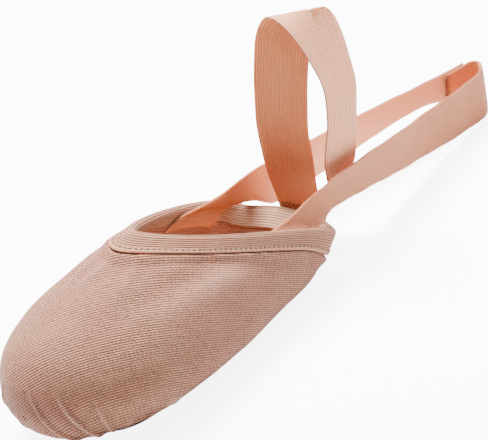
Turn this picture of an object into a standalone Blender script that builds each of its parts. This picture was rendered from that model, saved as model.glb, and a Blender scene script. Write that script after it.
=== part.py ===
"""Half sole dance shoe: a stretch canvas pouch for the forefoot, a heel sling and an instep loop.

Row frame: +X to the toe, +Y to the wearer's left, +Z up, the origin at the middle of the sole's
rest face. The source works in millimetres and the objects are written in metres.
"""
import bpy
import numpy as np

MM = 0.001

POUCH_LENGTH = 148.6      # scale of the pouch along X
POUCH_HEIGHT = 57.3       # scale of the pouch along Z, the throat stands a little over it
POUCH_WIDTH = 74.0        # scale of the pouch across, the ball is a little wider
TOE_AHEAD = 77.0          # toe tip ahead of the origin
UPPER_WALL = 1.3
GAP = 0.3                 # clear distance between sewn pieces
OUTSOLE_THICK = 1.5
OUTSOLE_HALF_LENGTH = 52.0
OUTSOLE_HALF_WIDTH = 22.0
INSOLE_THICK = 1.2
INSOLE_HALF_LENGTH = 45.0
INSOLE_HALF_WIDTH = 20.0
BINDING_THICK = 1.2
BINDING_OUTER_HEIGHT = 10.0   # how far the binding reaches down the outside of the collar
BINDING_INNER_HEIGHT = 8.5
STRAP_WIDTH = 23.0
STRAP_THICK = 1.2
STRAP_SEWN = 12.0         # length of strap sewn below the rim
WHOLE_LENGTH = 300.0      # toe tip to the back of the sling, scale of the strap stations
LOOP_HEIGHT = 106.0       # height of the loop's middle line, scale of the strap stations

STEPS_LONG = 28           # rings from toe to collar
STEPS_ROUND = 50          # stations round each ring

# The last, ring by ring from the toe to the collar. Each ring is a closed curve in a plane that
# tips back towards the collar. Columns: where it crosses the top (share of length behind the toe,
# share of height), where it crosses the bottom (same two), half width (share of half the pouch
# width), height of its widest line (share of the ring), roundness below and above that line.
TOP_BACK, TOP_UP, LOW_BACK, LOW_UP, HALF_WIDTH, WIDEST, ROUND_LOW, ROUND_HIGH = range(8)
LAST = np.array([
    [0.000, 0.360, 0.000, 0.360, 0.000, 0.50, 2.00, 2.00],
    [0.008, 0.543, 0.026, 0.200, 0.328, 0.48, 2.10, 2.00],
    [0.034, 0.654, 0.085, 0.080, 0.567, 0.47, 2.20, 2.00],
    [0.075, 0.744, 0.158, 0.020, 0.760, 0.46, 2.20, 2.00],
    [0.125, 0.799, 0.234, -0.015, 0.900, 0.45, 2.20, 2.00],
    [0.185, 0.845, 0.323, -0.025, 1.000, 0.44, 2.20, 2.00],
    [0.250, 0.886, 0.434, -0.030, 1.040, 0.43, 2.25, 2.00],
    [0.315, 0.921, 0.565, -0.030, 1.030, 0.43, 2.35, 2.00],
    [0.375, 0.954, 0.702, -0.030, 0.980, 0.44, 2.40, 2.00],
    [0.425, 0.988, 0.837, -0.010, 0.900, 0.42, 2.50, 1.95],
    [0.465, 1.020, 0.966, 0.075, 0.834, 0.32, 2.85, 1.76],
    [0.493, 1.045, 1.069, 0.305, 0.774, 0.22, 3.00, 1.60],
])
# Swell of the rim twice, three and four times round, shares of the pouch height.
COLLAR_WAVE = (-0.0122, 0.0140, 0.0113)
FLOOR_BLEND = 1.2         # how softly the ball runs into the flat underside

# Half sole patch and insole in plan, shares of half width at even steps from heel end to toe end.
PLAN = (0.0, 0.40, 0.63, 0.77, 0.86, 0.93, 0.98, 1.0, 0.97, 0.84, 0.56, 0.0)

# Free stations of the straps. Columns: behind the toe (share of WHOLE_LENGTH), side (share of
# half the pouch width, + to the left), height of the middle line (share of LOOP_HEIGHT), and two
# angles in degrees that aim the strap's width.
# Sling stations aim the width up: first its tip towards the toe, then its lean to the left.
SLING_LEFT = (
    (0.483, 0.573, 0.288, 58.0, 3.0),
    (0.517, 0.545, 0.294, 48.0, 12.0),
    (0.563, 0.514, 0.289, 28.0, 20.0),
    (0.626, 0.454, 0.256, 16.0, 20.0),
    (0.723, 0.346, 0.207, -1.0, 16.0),
    (0.822, 0.238, 0.157, -8.0, 9.0),
    (0.920, 0.149, 0.120, -6.2, 2.4),
    (0.946, 0.116, 0.115, -3.5, 0.3),
    (0.964, 0.027, 0.115, -2.0, 0.0),
    (0.970, -0.075, 0.118, 0.0, 1.5),
    (0.960, -0.1415, 0.128, 3.6, 6.0),
    (0.940, -0.160, 0.139, 8.0, 12.0),
    (0.910, -0.205, 0.167, 22.0, 22.0),
)
SLING_RIGHT = (
    (0.953, -0.198, 0.136, 4.0, 8.0),
    (0.940, -0.212, 0.144, 9.0, 13.0),
    (0.910, -0.257, 0.172, 23.0, 23.0),
    (0.858, -0.318, 0.196, 28.0, 27.0),
    (0.809, -0.368, 0.200, 24.0, 26.0),
    (0.740, -0.465, 0.202, 18.0, 22.0),
    (0.629, -0.565, 0.208, 10.0, 12.0),
    (0.561, -0.612, 0.222, 14.0, 5.0),
    (0.524, -0.612, 0.240, 36.0, 3.0),
    (0.490, -0.606, 0.262, 57.0, 2.0),
)
# Loop stations aim the width sideways: first its turn from left towards the heel, then its rise.
LOOP = (
    (0.538, -0.013, 0.270, 6.0, 6.0),
    (0.541, -0.045, 0.360, 14.0, 0.0),
    (0.543, -0.065, 0.470, 19.0, -8.0),
    (0.545, -0.045, 0.583, 20.0, -14.0),
    (0.561, 0.005, 0.805, 24.0, -10.0),
    (0.572, 0.065, 0.930, 28.0, -3.0),
    (0.585, 0.185, 0.997, 44.0, 0.0),
    (0.591, 0.355, 0.940, 68.0, -12.0),
    (0.599, 0.450, 0.790, 88.0, -18.0),
    (0.603, 0.470, 0.655, 97.0, -20.0),
    (0.597, 0.462, 0.540, 100.0, -22.0),
    (0.590, 0.435, 0.440, 98.0, -20.0),
    (0.584, 0.370, 0.345, 100.0, -24.0),
    (0.578, 0.275, 0.262, 122.0, -32.0),
    (0.565, 0.120, 0.212, 158.0, -16.0),
)
# Places on the collar, as the share of the way round from the back centre to the throat.
SLING_SEAT = (0.545, 0.300)       # upper and lower edge of each sling strap
LOOP_SEAT = 0.090                 # half width of the loop's two feet, one over the other


def clear_scene():
    """Empty the scene of every object."""
    for item in list(bpy.data.objects):
        bpy.data.objects.remove(item, do_unlink=True)


def blend_rows(rows, position, before, after):
    """Catmull-Rom blend of table rows at fractional positions, with given rows beyond both ends."""
    last = len(rows) - 1
    padded = np.concatenate([before[None], rows, after[None]])
    cell = np.minimum(np.clip(position, 0, last).astype(int), last - 1)
    f = (np.clip(position, 0, last) - cell).reshape((-1,) + (1,) * (rows.ndim - 1))
    a, b, c, d = (padded[cell + k] for k in range(4))
    return 0.5 * (2 * b + (c - a) * f + (2 * a - 5 * b + 4 * c - d) * f ** 2 + (3 * b - a - 3 * c + d) * f ** 3)


def soft_floor(z, floor):
    """Lay everything below the floor on it, with a short blend."""
    d = z - floor
    blend = np.where(d < -FLOOR_BLEND, 0.0, (d + FLOOR_BLEND) ** 2 / (4 * FLOOR_BLEND))
    return floor + np.where(d > FLOOR_BLEND, d, blend)


def skin(station, angle):
    """Outer surface of the pouch in mm: station 0 toe to 1 collar, angle 0 bottom, pi top, +Y first."""
    station, angle = np.broadcast_arrays(np.asarray(station, float), np.asarray(angle, float))
    shape = station.shape
    station, angle = station.ravel(), angle.ravel()
    rows = len(LAST) - 1
    mirror = LAST[1][[LOW_BACK, LOW_UP, TOP_BACK, TOP_UP, HALF_WIDTH, WIDEST, ROUND_LOW, ROUND_HIGH]]
    mirror = mirror * np.where(np.arange(8) == HALF_WIDTH, -1.0, 1.0)
    r = blend_rows(LAST, station * rows, mirror, 2 * LAST[-1] - LAST[-2])
    s, c = np.sin(angle), np.cos(angle)
    low = c > 0
    power = 2.0 / np.where(low, r[:, ROUND_LOW], r[:, ROUND_HIGH])
    reach = np.abs(c) ** power
    m = r[:, WIDEST]
    h = np.where(low, m * (1 - reach), m + (1 - m) * reach)
    x_low, x_top = (TOE_AHEAD - r[:, k] * POUCH_LENGTH for k in (LOW_BACK, TOP_BACK))
    z_low, z_top = (r[:, k] * POUCH_HEIGHT for k in (LOW_UP, TOP_UP))
    x = x_low + (x_top - x_low) * h
    z = z_low + (z_top - z_low) * h
    y = r[:, HALF_WIDTH] * POUCH_WIDTH / 2 * np.sign(s) * np.abs(s) ** power
    swell = sum(size * np.cos((k + 2) * angle) for k, size in enumerate(COLLAR_WAVE))
    swell = swell * POUCH_HEIGHT * np.clip((station - 0.6) / 0.4, 0, 1) ** 2
    rim = LAST[-1]
    run = np.array([(rim[LOW_BACK] - rim[TOP_BACK]) * POUCH_LENGTH, (rim[TOP_UP] - rim[LOW_UP]) * POUCH_HEIGHT])
    run = run / np.hypot(*run)
    x = x - swell * run[1]
    z = soft_floor(z + swell * run[0], OUTSOLE_THICK + GAP)
    return np.stack([x, y, z], -1).reshape(shape + (3,))


def skin_normal(station, angle):
    """Outward normal of the pouch, by small differences."""
    station, angle = np.broadcast_arrays(np.asarray(station, float), np.asarray(angle, float))
    e = 2e-3
    at = np.clip(station, 2 * e, 1 - e)
    along = skin(at + e, angle) - skin(at - e, angle)
    turn = skin(at, angle + e) - skin(at, angle - e)
    n = np.cross(along, turn)
    n = n / np.maximum(np.linalg.norm(n, axis=-1, keepdims=True), 1e-9)
    return n


def station_below(angle, depth):
    """Station on the meridian at this angle whose arc length below the rim is depth."""
    dense = np.linspace(1.0, 0.6, 161)
    line = skin(dense, float(angle))
    run = np.concatenate([[0.0], np.cumsum(np.linalg.norm(np.diff(line, axis=0), axis=1))])
    return np.interp(depth, run, dense)


def even_angles(count):
    """Angles that are evenly spaced along the rim, starting at the bottom."""
    dense = np.linspace(0, 2 * np.pi, 1441)
    rim = 0.5 * (skin(1.0, dense) + skin(0.62, dense))
    run = np.concatenate([[0.0], np.cumsum(np.linalg.norm(np.diff(rim, axis=0), axis=1))])
    return np.interp(np.arange(count) / count * run[-1], run, dense)


def seat_angle(share):
    """Angle of a place on the rim, as the share of the way from the back centre to the throat."""
    dense = np.linspace(0, np.pi, 721)
    rim = skin(1.0, dense)
    run = np.concatenate([[0.0], np.cumsum(np.linalg.norm(np.diff(rim, axis=0), axis=1))])
    return np.sign(share) * np.interp(abs(share) * run[-1], run, dense)


def add_object(name, verts, faces, colour, roughness):
    """One closed mesh object with its own material, from millimetre points."""
    mesh = bpy.data.meshes.new(name)
    mesh.from_pydata([tuple(v) for v in np.asarray(verts) * MM], [], [tuple(int(i) for i in f) for f in faces])
    mesh.validate()
    material = bpy.data.materials.new(name)
    material.use_nodes = True
    shader = material.node_tree.nodes["Principled BSDF"]
    shader.inputs["Base Color"].default_value = (*colour, 1.0)
    shader.inputs["Roughness"].default_value = roughness
    mesh.materials.append(material)
    item = bpy.data.objects.new(name, mesh)
    bpy.context.scene.collection.objects.link(item)
    return item


def ring_faces(count, first, second):
    """Quads between two closed rings of the same length."""
    k = np.arange(count)
    n = (k + 1) % count
    return np.stack([first + k, first + n, second + n, second + k], 1).tolist()


def make_upper():
    """The pouch: an outer skin, an inner skin a wall inside it, joined at the collar rim."""
    angles = even_angles(STEPS_ROUND)
    stations = np.linspace(0, 1, STEPS_LONG + 1)[1:] ** 0.92
    outer = skin(stations[:, None], angles[None])
    normal = skin_normal(stations[:, None], angles[None])
    inner = outer - UPPER_WALL * normal
    pole = skin(0.0, 0.0)
    verts = np.concatenate([pole[None], outer.reshape(-1, 3), (pole - [UPPER_WALL, 0, 0])[None], inner.reshape(-1, 3)])
    n, rings = STEPS_ROUND, len(stations)
    half = 1 + rings * n
    faces = []
    for k in range(n):
        k2 = (k + 1) % n
        faces.append((0, 1 + k, 1 + k2))
        faces.append((half, half + 1 + k2, half + 1 + k))
    for r in range(rings - 1):
        a, b = 1 + r * n, 1 + (r + 1) * n
        faces += [f[::-1] for f in ring_faces(n, a, b)]
        faces += ring_faces(n, half + a, half + b)
    last = 1 + (rings - 1) * n
    faces += [f[::-1] for f in ring_faces(n, last, half + last)]
    return add_object("upper", verts, faces, (0.66, 0.47, 0.38), 0.85)


def make_binding():
    """Elastic folded over the rim: down the outside, round the edge and down the inside."""
    angles = even_angles(STEPS_ROUND)
    out_near, out_far = GAP, GAP + BINDING_THICK
    in_near, in_far = -UPPER_WALL - GAP, -UPPER_WALL - GAP - BINDING_THICK
    arc = np.linspace(0, np.pi, 6)
    sections = []
    for angle in angles:
        down_out = station_below(angle, np.linspace(BINDING_OUTER_HEIGHT, BINDING_THICK * 2 / 3, 4))
        down_in = station_below(angle, np.linspace(BINDING_THICK * 2 / 3, BINDING_INNER_HEIGHT, 4))
        base_out, n_out = skin(down_out, angle), skin_normal(down_out, angle)
        base_in, n_in = skin(down_in, angle), skin_normal(down_in, angle)
        rim = skin(1.0, angle)
        n_rim = skin_normal(1.0, angle)
        up = rim - skin(0.98, angle)
        up = up - n_rim * (up @ n_rim)
        up = up / np.linalg.norm(up)
        middle = rim - 0.5 * UPPER_WALL * n_rim - 0.15 * UPPER_WALL * up
        far = 0.5 * UPPER_WALL + out_far
        near = 0.5 * UPPER_WALL + out_near
        arc_far = middle + far * (np.cos(arc)[:, None] * n_rim + np.sin(arc)[:, None] * up)
        arc_near = middle + near * (np.cos(arc)[:, None] * n_rim + np.sin(arc)[:, None] * up)
        outside = np.concatenate([base_out[:-1] + out_far * n_out[:-1], arc_far, base_in[1:] + in_far * n_in[1:]])
        inside = np.concatenate([base_out[:-1] + out_near * n_out[:-1], arc_near, base_in[1:] + in_near * n_in[1:]])
        sections.append(np.concatenate([outside, inside[::-1]]))
    sections = np.array(sections)
    n, m = sections.shape[:2]
    faces = []
    for r in range(n):
        faces += ring_faces(m, r * m, ((r + 1) % n) * m)
    return add_object("collar_binding", sections.reshape(-1, 3), faces, (0.68, 0.50, 0.41), 0.8)


def make_plate(name, half_length, half_width, low, high, bevel, colour, roughness):
    """A flat plate with the half sole outline, its top and bottom edges eased."""
    t = np.linspace(0, 1, 29)
    plan = np.asarray(PLAN)[:, None]
    share = blend_rows(plan, t * (len(plan) - 1), -plan[1], -plan[-2])[:, 0]
    along = -np.cos(t * np.pi)
    side = np.stack([half_length * along, half_width * np.maximum(share, 0)], 1)
    outline = np.concatenate([side, (side * [1, -1])[-2:0:-1]])
    centre = np.array([0.0, 0.0])
    levels = ((low, bevel), (low + bevel, 0.0), (high - bevel, 0.0), (high, bevel))
    rings = []
    for z, inset in levels:
        size = np.linalg.norm(outline - centre, axis=1, keepdims=True)
        rings.append(np.concatenate([outline * (1 - inset / size), np.full((len(outline), 1), z)], 1))
    n = len(outline)
    verts = np.concatenate(rings + [[[0, 0, low]], [[0, 0, high]]])
    faces = []
    for r in range(len(levels) - 1):
        faces += [f[::-1] for f in ring_faces(n, r * n, (r + 1) * n)]
    top = (len(levels) - 1) * n
    for k in range(n):
        k2 = (k + 1) % n
        faces.append((4 * n, k, k2))
        faces.append((4 * n + 1, top + k2, top + k))
    return add_object(name, verts, faces, colour, roughness)


def free_rows(table, across, aim):
    """Rows of points across a strap from its stations; aim turns two angles into a direction."""
    rows = []
    for back, side, high, first, second in table:
        centre = np.array([TOE_AHEAD - back * WHOLE_LENGTH, side * POUCH_WIDTH / 2, high * LOOP_HEIGHT])
        rows.append(centre + across[:, None] * STRAP_WIDTH / 2 * aim(np.radians(first), np.radians(second)))
    return rows


def aim_up(tip, lean):
    """Width direction of a sling strap."""
    return np.array([np.sin(tip) * np.cos(lean), np.sin(lean), np.cos(tip) * np.cos(lean)])


def aim_side(turn, rise):
    """Width direction of the loop."""
    return np.array([-np.sin(turn) * np.cos(rise), np.cos(turn) * np.cos(rise), np.sin(rise)])


def seat_rows(first, second, depths, offset, across):
    """Rows of points that follow the pouch between two places on the rim, offset along its normal.

    A depth below zero stands above the rim, straight on from the wall.
    """
    angle = np.array([seat_angle(v) for v in np.linspace(first, second, len(across))])
    rows = []
    for depth in depths:
        station = np.array([station_below(a, max(depth, 0.0)) for a in angle])
        rise = skin(1.0, angle) - skin(0.98, angle)
        rise = rise / np.linalg.norm(rise, axis=1, keepdims=True)
        rows.append(skin(station, angle) + offset * skin_normal(station, angle) + max(-depth, 0.0) * rise)
    return rows


def make_strap(name, rows, steps, colour):
    """A flat elastic of constant thickness through rows of points."""
    rows = np.array(rows)
    t = np.linspace(0, len(rows) - 1, (len(rows) - 1) * steps + 1)
    sheet = blend_rows(rows, t, 2 * rows[0] - rows[1], 2 * rows[-1] - rows[-2])
    along = np.gradient(sheet, axis=0)
    over = np.gradient(sheet, axis=1)
    normal = np.cross(along, over)
    normal = normal / np.linalg.norm(normal, axis=-1, keepdims=True)
    top = sheet + 0.5 * STRAP_THICK * normal
    low = sheet - 0.5 * STRAP_THICK * normal
    r, c = sheet.shape[:2]
    verts = np.concatenate([top.reshape(-1, 3), low.reshape(-1, 3)])
    index = np.arange(r * c).reshape(r, c)
    faces = []
    for a in range(r - 1):
        for b in range(c - 1):
            quad = (index[a, b], index[a + 1, b], index[a + 1, b + 1], index[a, b + 1])
            faces.append(quad)
            faces.append(tuple(r * c + q for q in quad[::-1]))
    border = list(index[:, 0]) + list(index[-1, 1:]) + list(index[-2::-1, -1]) + list(index[0, -2:0:-1])
    for a, b in zip(border, border[1:] + border[:1]):
        faces.append((b, a, r * c + a, r * c + b))
    return add_object(name, verts, faces, colour, 0.75)


def make_straps():
    """The sling in two straps that overlap at the back, and the instep loop."""
    across = np.linspace(-1, 1, 5)
    wall = UPPER_WALL + GAP + BINDING_THICK + 1.6 * GAP + STRAP_THICK / 2
    colour = (0.72, 0.50, 0.39)
    depths = (STRAP_SEWN, STRAP_SEWN / 2, STRAP_SEWN / 24)
    upper_seat, lower_seat = SLING_SEAT
    left = seat_rows(lower_seat, upper_seat, depths, -wall, across)
    make_strap("heel_strap_left", left + free_rows(SLING_LEFT, across, aim_up), 3, colour)
    right = seat_rows(-lower_seat, -upper_seat, depths, -wall, across)
    make_strap("heel_strap_right", free_rows(SLING_RIGHT, across, aim_up) + right[::-1], 3, colour)
    near = GAP + BINDING_THICK + 1.4 * GAP + STRAP_THICK / 2
    far = near + STRAP_THICK + 3 * GAP
    feet = (STRAP_SEWN, STRAP_SEWN / 2, -STRAP_SEWN / 12)
    first = seat_rows(-LOOP_SEAT, LOOP_SEAT, feet, near, across)
    second = seat_rows(-LOOP_SEAT, LOOP_SEAT, feet, far, across)
    second = [row[::-1] for row in second[::-1]]
    make_strap("instep_loop", first + free_rows(LOOP, across, aim_side) + second, 3, colour)


def main():
    """Build every piece."""
    clear_scene()
    make_upper()
    make_binding()
    floor = OUTSOLE_THICK + GAP + UPPER_WALL + GAP
    make_plate("outsole", OUTSOLE_HALF_LENGTH, OUTSOLE_HALF_WIDTH, 0.0, OUTSOLE_THICK, OUTSOLE_THICK / 5,
               (0.22, 0.17, 0.14), 0.95)
    make_plate("insole", INSOLE_HALF_LENGTH, INSOLE_HALF_WIDTH, floor, floor + INSOLE_THICK, INSOLE_THICK / 6,
               (0.75, 0.63, 0.55), 0.9)
    make_straps()


main()
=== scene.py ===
"""Half sole dance shoe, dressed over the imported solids.

Every size below is in millimetres in the shoe's own frame: +X to the toe, +Y to the wearer's
left, +Z up. Meshes are written in metres with their place in the mesh.
"""
from __future__ import annotations

import logging
import math
from dataclasses import dataclass, field, replace
from enum import Enum
from functools import cache
from typing import Sequence

import bpy
import numpy as np
from mathutils import Matrix, Vector

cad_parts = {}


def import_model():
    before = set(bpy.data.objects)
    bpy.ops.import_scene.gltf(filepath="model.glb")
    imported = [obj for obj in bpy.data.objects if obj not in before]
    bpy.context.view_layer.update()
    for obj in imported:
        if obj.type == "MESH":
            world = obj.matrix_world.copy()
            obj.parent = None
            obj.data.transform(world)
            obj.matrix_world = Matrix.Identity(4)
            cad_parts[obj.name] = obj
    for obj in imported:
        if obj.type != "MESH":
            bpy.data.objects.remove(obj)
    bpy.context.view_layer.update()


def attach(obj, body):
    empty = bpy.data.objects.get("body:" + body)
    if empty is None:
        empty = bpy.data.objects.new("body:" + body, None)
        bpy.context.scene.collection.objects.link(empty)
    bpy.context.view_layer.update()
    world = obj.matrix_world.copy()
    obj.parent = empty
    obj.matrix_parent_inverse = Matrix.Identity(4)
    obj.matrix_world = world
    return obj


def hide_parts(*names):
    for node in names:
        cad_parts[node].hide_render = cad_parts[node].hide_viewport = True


LOG = logging.getLogger("half_sole_shoe")
MM = 0.001
Colour = tuple[float, float, float]
Array = np.ndarray
Item = bpy.types.Object
Material = bpy.types.Material
Node = bpy.types.Node
NodeTree = bpy.types.NodeTree
Socket = bpy.types.NodeSocket
Sockets = bpy.types.bpy_prop_collection

# The last, ring by ring from the toe to the collar, as shares of the pouch's length, height and
# half width: where the ring crosses the top (back, up), where it crosses the bottom (back, up),
# its half width, the height of its widest line, its roundness below and above that line.
TOP_BACK, TOP_UP, LOW_BACK, LOW_UP, HALF_WIDTH, WIDEST, ROUND_LOW, ROUND_HIGH = range(8)
LAST_RINGS = np.array([
    [0.000, 0.360, 0.000, 0.360, 0.000, 0.50, 2.00, 2.00],
    [0.008, 0.543, 0.026, 0.200, 0.328, 0.48, 2.10, 2.00],
    [0.034, 0.654, 0.085, 0.080, 0.567, 0.47, 2.20, 2.00],
    [0.075, 0.744, 0.158, 0.020, 0.760, 0.46, 2.20, 2.00],
    [0.125, 0.799, 0.234, -0.015, 0.900, 0.45, 2.20, 2.00],
    [0.185, 0.845, 0.323, -0.025, 1.000, 0.44, 2.20, 2.00],
    [0.250, 0.886, 0.434, -0.030, 1.040, 0.43, 2.25, 2.00],
    [0.315, 0.921, 0.565, -0.030, 1.030, 0.43, 2.35, 2.00],
    [0.375, 0.954, 0.702, -0.030, 0.980, 0.44, 2.40, 2.00],
    [0.425, 0.988, 0.837, -0.010, 0.900, 0.42, 2.50, 1.95],
    [0.465, 1.020, 0.966, 0.075, 0.834, 0.32, 2.85, 1.76],
    [0.493, 1.045, 1.069, 0.305, 0.774, 0.22, 3.00, 1.60],
])
COLLAR_WAVE = (-0.0122, 0.0140, 0.0113)
SOLE_PLAN = (0.0, 0.40, 0.63, 0.77, 0.86, 0.93, 0.98, 1.0, 0.97, 0.84, 0.56, 0.0)

# Strap stations: behind the toe (share of the whole length), side (share of half the pouch
# width), height (share of the loop's height) and two angles in degrees that aim the width.
SLING_LEFT = (
    (0.483, 0.573, 0.288, 58.0, 3.0),
    (0.517, 0.545, 0.294, 48.0, 12.0),
    (0.563, 0.514, 0.289, 28.0, 20.0),
    (0.626, 0.454, 0.256, 16.0, 20.0),
    (0.723, 0.346, 0.207, -1.0, 16.0),
    (0.822, 0.238, 0.157, -8.0, 9.0),
    (0.920, 0.149, 0.120, -6.2, 2.4),
    (0.946, 0.116, 0.115, -3.5, 0.3),
    (0.964, 0.027, 0.115, -2.0, 0.0),
    (0.970, -0.075, 0.118, 0.0, 1.5),
    (0.960, -0.1415, 0.128, 3.6, 6.0),
    (0.940, -0.160, 0.139, 8.0, 12.0),
    (0.910, -0.205, 0.167, 22.0, 22.0),
)
SLING_RIGHT = (
    (0.953, -0.198, 0.136, 4.0, 8.0),
    (0.940, -0.212, 0.144, 9.0, 13.0),
    (0.910, -0.257, 0.172, 23.0, 23.0),
    (0.858, -0.318, 0.196, 28.0, 27.0),
    (0.809, -0.368, 0.200, 24.0, 26.0),
    (0.740, -0.465, 0.202, 18.0, 22.0),
    (0.629, -0.565, 0.208, 10.0, 12.0),
    (0.561, -0.612, 0.222, 14.0, 5.0),
    (0.524, -0.612, 0.240, 36.0, 3.0),
    (0.490, -0.606, 0.262, 57.0, 2.0),
)
INSTEP_LOOP = (
    (0.538, -0.013, 0.270, 6.0, 6.0),
    (0.541, -0.045, 0.360, 14.0, 0.0),
    (0.543, -0.065, 0.470, 19.0, -8.0),
    (0.545, -0.045, 0.583, 20.0, -14.0),
    (0.561, 0.005, 0.805, 24.0, -10.0),
    (0.572, 0.065, 0.930, 28.0, -3.0),
    (0.585, 0.185, 0.997, 44.0, 0.0),
    (0.591, 0.355, 0.940, 68.0, -12.0),
    (0.599, 0.450, 0.790, 88.0, -18.0),
    (0.603, 0.470, 0.655, 97.0, -20.0),
    (0.597, 0.462, 0.540, 100.0, -22.0),
    (0.590, 0.435, 0.440, 98.0, -20.0),
    (0.584, 0.370, 0.345, 100.0, -24.0),
    (0.578, 0.275, 0.262, 122.0, -32.0),
    (0.565, 0.120, 0.212, 158.0, -16.0),
)

# How many waves a ripple adds up, and the reach that brings their sum to about 1.
RIPPLE_WAVES = 6
RIPPLE_REACH = 3.2


def blend_rows(rows: Array, position: Array, before: Array | None = None,
               after: Array | None = None) -> Array:
    """Catmull-Rom blend of table rows at fractional positions.

    Args:
        rows: table, one row per station.
        position: fractional row numbers.
        before: row beyond the first end, or None to run straight on.
        after: row beyond the last end, or None to run straight on.

    Returns:
        One blended row for each position.
    """
    last = len(rows) - 1
    before = 2 * rows[0] - rows[1] if before is None else before
    after = 2 * rows[-1] - rows[-2] if after is None else after
    padded = np.concatenate([before[None], rows, after[None]])
    cell = np.minimum(np.clip(position, 0, last).astype(int), last - 1)
    f = (np.clip(position, 0, last) - cell).reshape((-1,) + (1,) * (rows.ndim - 1))
    a, b, c, d = (padded[cell + k] for k in range(4))
    return 0.5 * (2 * b + (c - a) * f + (2 * a - 5 * b + 4 * c - d) * f ** 2
                  + (3 * b - a - 3 * c + d) * f ** 3)


def ease(value: Array, start: float, end: float) -> Array:
    """Smooth ramp from 0 at start to 1 at end, in either direction."""
    t = np.clip((value - start) / (end - start), 0.0, 1.0)
    return t * t * (3 - 2 * t)


def bell(offset: Array | float, width: float) -> Array | float:
    """A rounded bump of height 1 at offset 0."""
    return np.exp(-(offset / width) ** 2)


def round_off(distance: Array | float, radius: float, least: float = 0.0) -> Array:
    """Share of the full thickness at a distance from a rounded edge."""
    return np.sqrt(np.clip(1 - (1 - np.clip(distance / radius, 0, 1)) ** 2, least, 1))


def unit(vectors: Array) -> Array:
    """The same directions at length 1."""
    return vectors / np.maximum(np.linalg.norm(vectors, axis=-1, keepdims=True), 1e-9)


def run_length(points: Array) -> Array:
    """Distance along a row of points, from 0 at the first."""
    return np.concatenate([[0.0], np.cumsum(np.linalg.norm(np.diff(points, axis=0), axis=1))])


def ripple(points: Array, size: float, seed: int) -> Array:
    """Slow uneven waves through space.

    Args:
        points: places in millimetres.
        size: rough length of a wave in millimetres.
        seed: fixed seed for the wave directions.

    Returns:
        Values between about -1 and 1.
    """
    rng = np.random.default_rng(seed)
    total = np.zeros(points.shape[:-1])
    for _ in range(RIPPLE_WAVES):
        way = unit(rng.normal(size=3)) * 2 * math.pi / (size * rng.uniform(0.7, 1.5))
        total += np.sin(points @ way + rng.uniform(0, 6.28))
    return total / RIPPLE_REACH


def linked(name: str, data: bpy.types.ID) -> Item:
    """A new object in the scene that shows the data.

    Args:
        name: object name.
        data: mesh, light or camera.

    Returns:
        The object.
    """
    item = bpy.data.objects.new(name, data)
    bpy.context.scene.collection.objects.link(item)
    return item


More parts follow.
